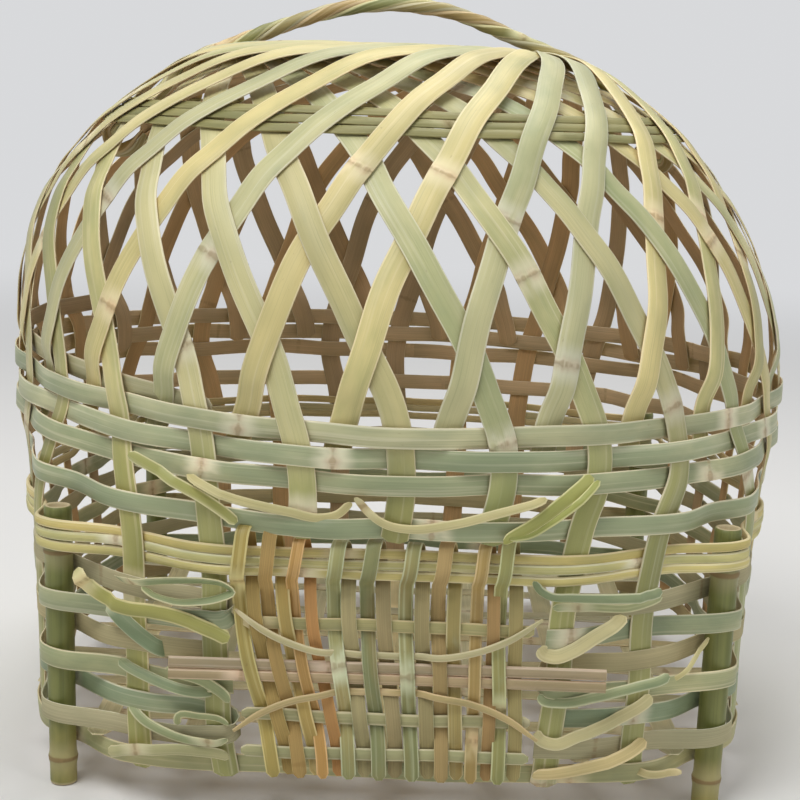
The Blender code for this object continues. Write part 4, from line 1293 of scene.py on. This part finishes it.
def lay_on_wall(trees, places, width, turns, free):
    """A line on the wall's front through places seen from there, as (middle, across, out)."""
    forward = Vector((0, -1, 0))
    flat = [[Vector((x / MM, 0, z / MM)), Vector((0, 0, 1)), forward] for x, z in places]
    line = smooth_stations(flat, False, LAY_STEP)
    fronts = [wall_front(trees, spot.x, spot.z) for spot, across, out in line]
    known = [front for front in fronts if front is not None]
    fronts = [min(known) if front is None else front for front in fronts]
    last = len(line) - 1
    windows = [slice(max(0, index - LOOSE_REACH), index + LOOSE_REACH + 1) for index in range(last + 1)]
    proud = [min(fronts[window]) for window in windows]
    laid = []
    for index, (spot, across, out) in enumerate(line):
        near = proud[windows[index]]
        turn = radians(turns[0] + (turns[1] - turns[0]) * index / last)
        lift = LOOSE_LIFT + width / 2 * abs(sin(turn))
        depth = sum(near) / len(near) - lift
        for is_free, gone in ((free[0], index), (free[1], last - index)):
            share = max(0, 1 - gone * LAY_STEP / END_LENGTH)
            depth += (-CURL if is_free else TUCK + lift) * share * share
        ahead = (line[min(index + 1, last)][0] - line[max(index - 1, 0)][0]).normalized()
        out = Matrix.Rotation(turn, 3, ahead) @ forward
        laid.append((Vector((spot.x, depth, spot.z)), ahead.cross(out), out))
    return laid


def make_loose_ends():
    graph = bpy.context.evaluated_depsgraph_get()
    kinds = ("dome_splint", "band_splint", "wall_splint", "sill_splint", "rail_splints", "post_cane")
    walls = [piece for piece in bpy.data.objects if piece.name.startswith(kinds)]
    trees = [BVHTree.FromObject(piece, graph) for piece in walls]
    finishes = {"wall": WALL_FINISH, "dome": DOME_FINISH, "pale": PALE_FINISH}
    parts = []
    for number, (width, turns, free, green, tint, kind, *places) in enumerate(LOOSE_ENDS):
        line = lay_on_wall(trees, places, width, turns, free)
        looks = {"green": green, "tint": tint, "spread": 0.05, "tip": 0.004}
        size = (width, LOOSE_THICKNESS)
        parts.append(sweep_splint(f"loose_{number}", line, False, *size, finishes[kind], **looks))
    return settle(join_pieces("loose_ends", parts), "cage", "weaver_green")


print("loose ends:", len(make_loose_ends().data.polygons), "faces")

# %% [markdown]
# ## Floor and light
#
# A plain pale floor and soft light from large lamps show the weave without hiding any of it.

# %% Studio
FLOOR_HALF = 6.0
FLOOR_GREY = (0.80, 0.79, 0.77)
SKY = (0.93, 0.94, 0.96)
SKY_SEEN = 0.74
SKY_LIGHT = 0.34
FADE_FROM, FADE_TO = 0.7, 3.4
LAMPS = (
    # name, place, aim, size, power
    ("key", (-0.8, -1.1, 2.3), (0, 0, 0.25), 1.3, 33),
    ("fill", (1.9, -1.2, 1.3), (0, 0, 0.25), 1.6, 8),
    ("top", (0.2, 0.8, 2.4), (0, 0, 0.3), 1.5, 25),
)


def looking(tree, *kinds):
    """1 for rays of these kinds, which look at a thing, and 0 for those that light it."""
    rays = tree.nodes.new("ShaderNodeLightPath")
    first, *others = (Wire(tree, rays.outputs[f"Is {kind} Ray"]) for kind in kinds)
    for other in others:
        first = first.highest(other)
    return first


def make_floor():
    shape = bmesh.new()
    bmesh.ops.create_grid(shape, x_segments=1, y_segments=1, size=FLOOR_HALF)
    mesh = bpy.data.meshes.new("floor")
    shape.to_mesh(mesh)
    shape.free()
    floor = bpy.data.objects.new("floor", mesh)
    bpy.context.scene.collection.objects.link(floor)
    material = bpy.data.materials.new("floor_paint")
    material.use_nodes = True
    tree = material.node_tree
    surface = tree.nodes["Principled BSDF"]
    surface.inputs["Roughness"].default_value = 0.9
    surface.inputs["Specular IOR Level"].default_value = 0.0
    surface.inputs["Emission Strength"].default_value = 1.0
    spot = add(tree, "ShaderNodeTexCoord", None, None, 3)
    distance = add(tree, "ShaderNodeVectorMath", {"operation": "LENGTH"}, {0: spot}, 1)
    far = distance.rise(FADE_FROM, FADE_TO)
    seen = looking(tree, "Camera", "Glossy")
    glow = (far * seen).pick((0, 0, 0), [value * SKY_SEEN for value in SKY])
    tree.links.new((far * seen).pick(FLOOR_GREY, (0, 0, 0)).socket, surface.inputs["Base Color"])
    tree.links.new(glow.socket, surface.inputs["Emission Color"])
    mesh.materials.append(material)


def soft_lamp(name, where, aim, size, power):
    lamp = bpy.data.objects.new(name, bpy.data.lights.new(name, "AREA"))
    lamp.data.shape = "SQUARE"
    lamp.data.size = size
    lamp.data.energy = power
    lamp.location = where
    lamp.rotation_euler = (Vector(aim) - Vector(where)).to_track_quat("-Z", "Y").to_euler()
    bpy.context.scene.collection.objects.link(lamp)


make_floor()
for lamp in LAMPS:
    soft_lamp(*lamp)
world = bpy.data.worlds.new("room")
world.use_nodes = True
room = world.node_tree
room.nodes.clear()
seen = looking(room, "Camera", "Glossy", "Transmission")
strength = seen * (SKY_SEEN - SKY_LIGHT) + SKY_LIGHT
sky = add(room, "ShaderNodeBackground", None, {"Color": SKY, "Strength": strength})
view_out = room.nodes.new("ShaderNodeOutputWorld")
room.links.new(sky.socket, view_out.inputs["Surface"])
bpy.context.scene.world = world
bpy.context.scene.view_settings.view_transform = "Standard"
print("lamps:", len(LAMPS))

# %% Finish
bpy.context.view_layer.update()
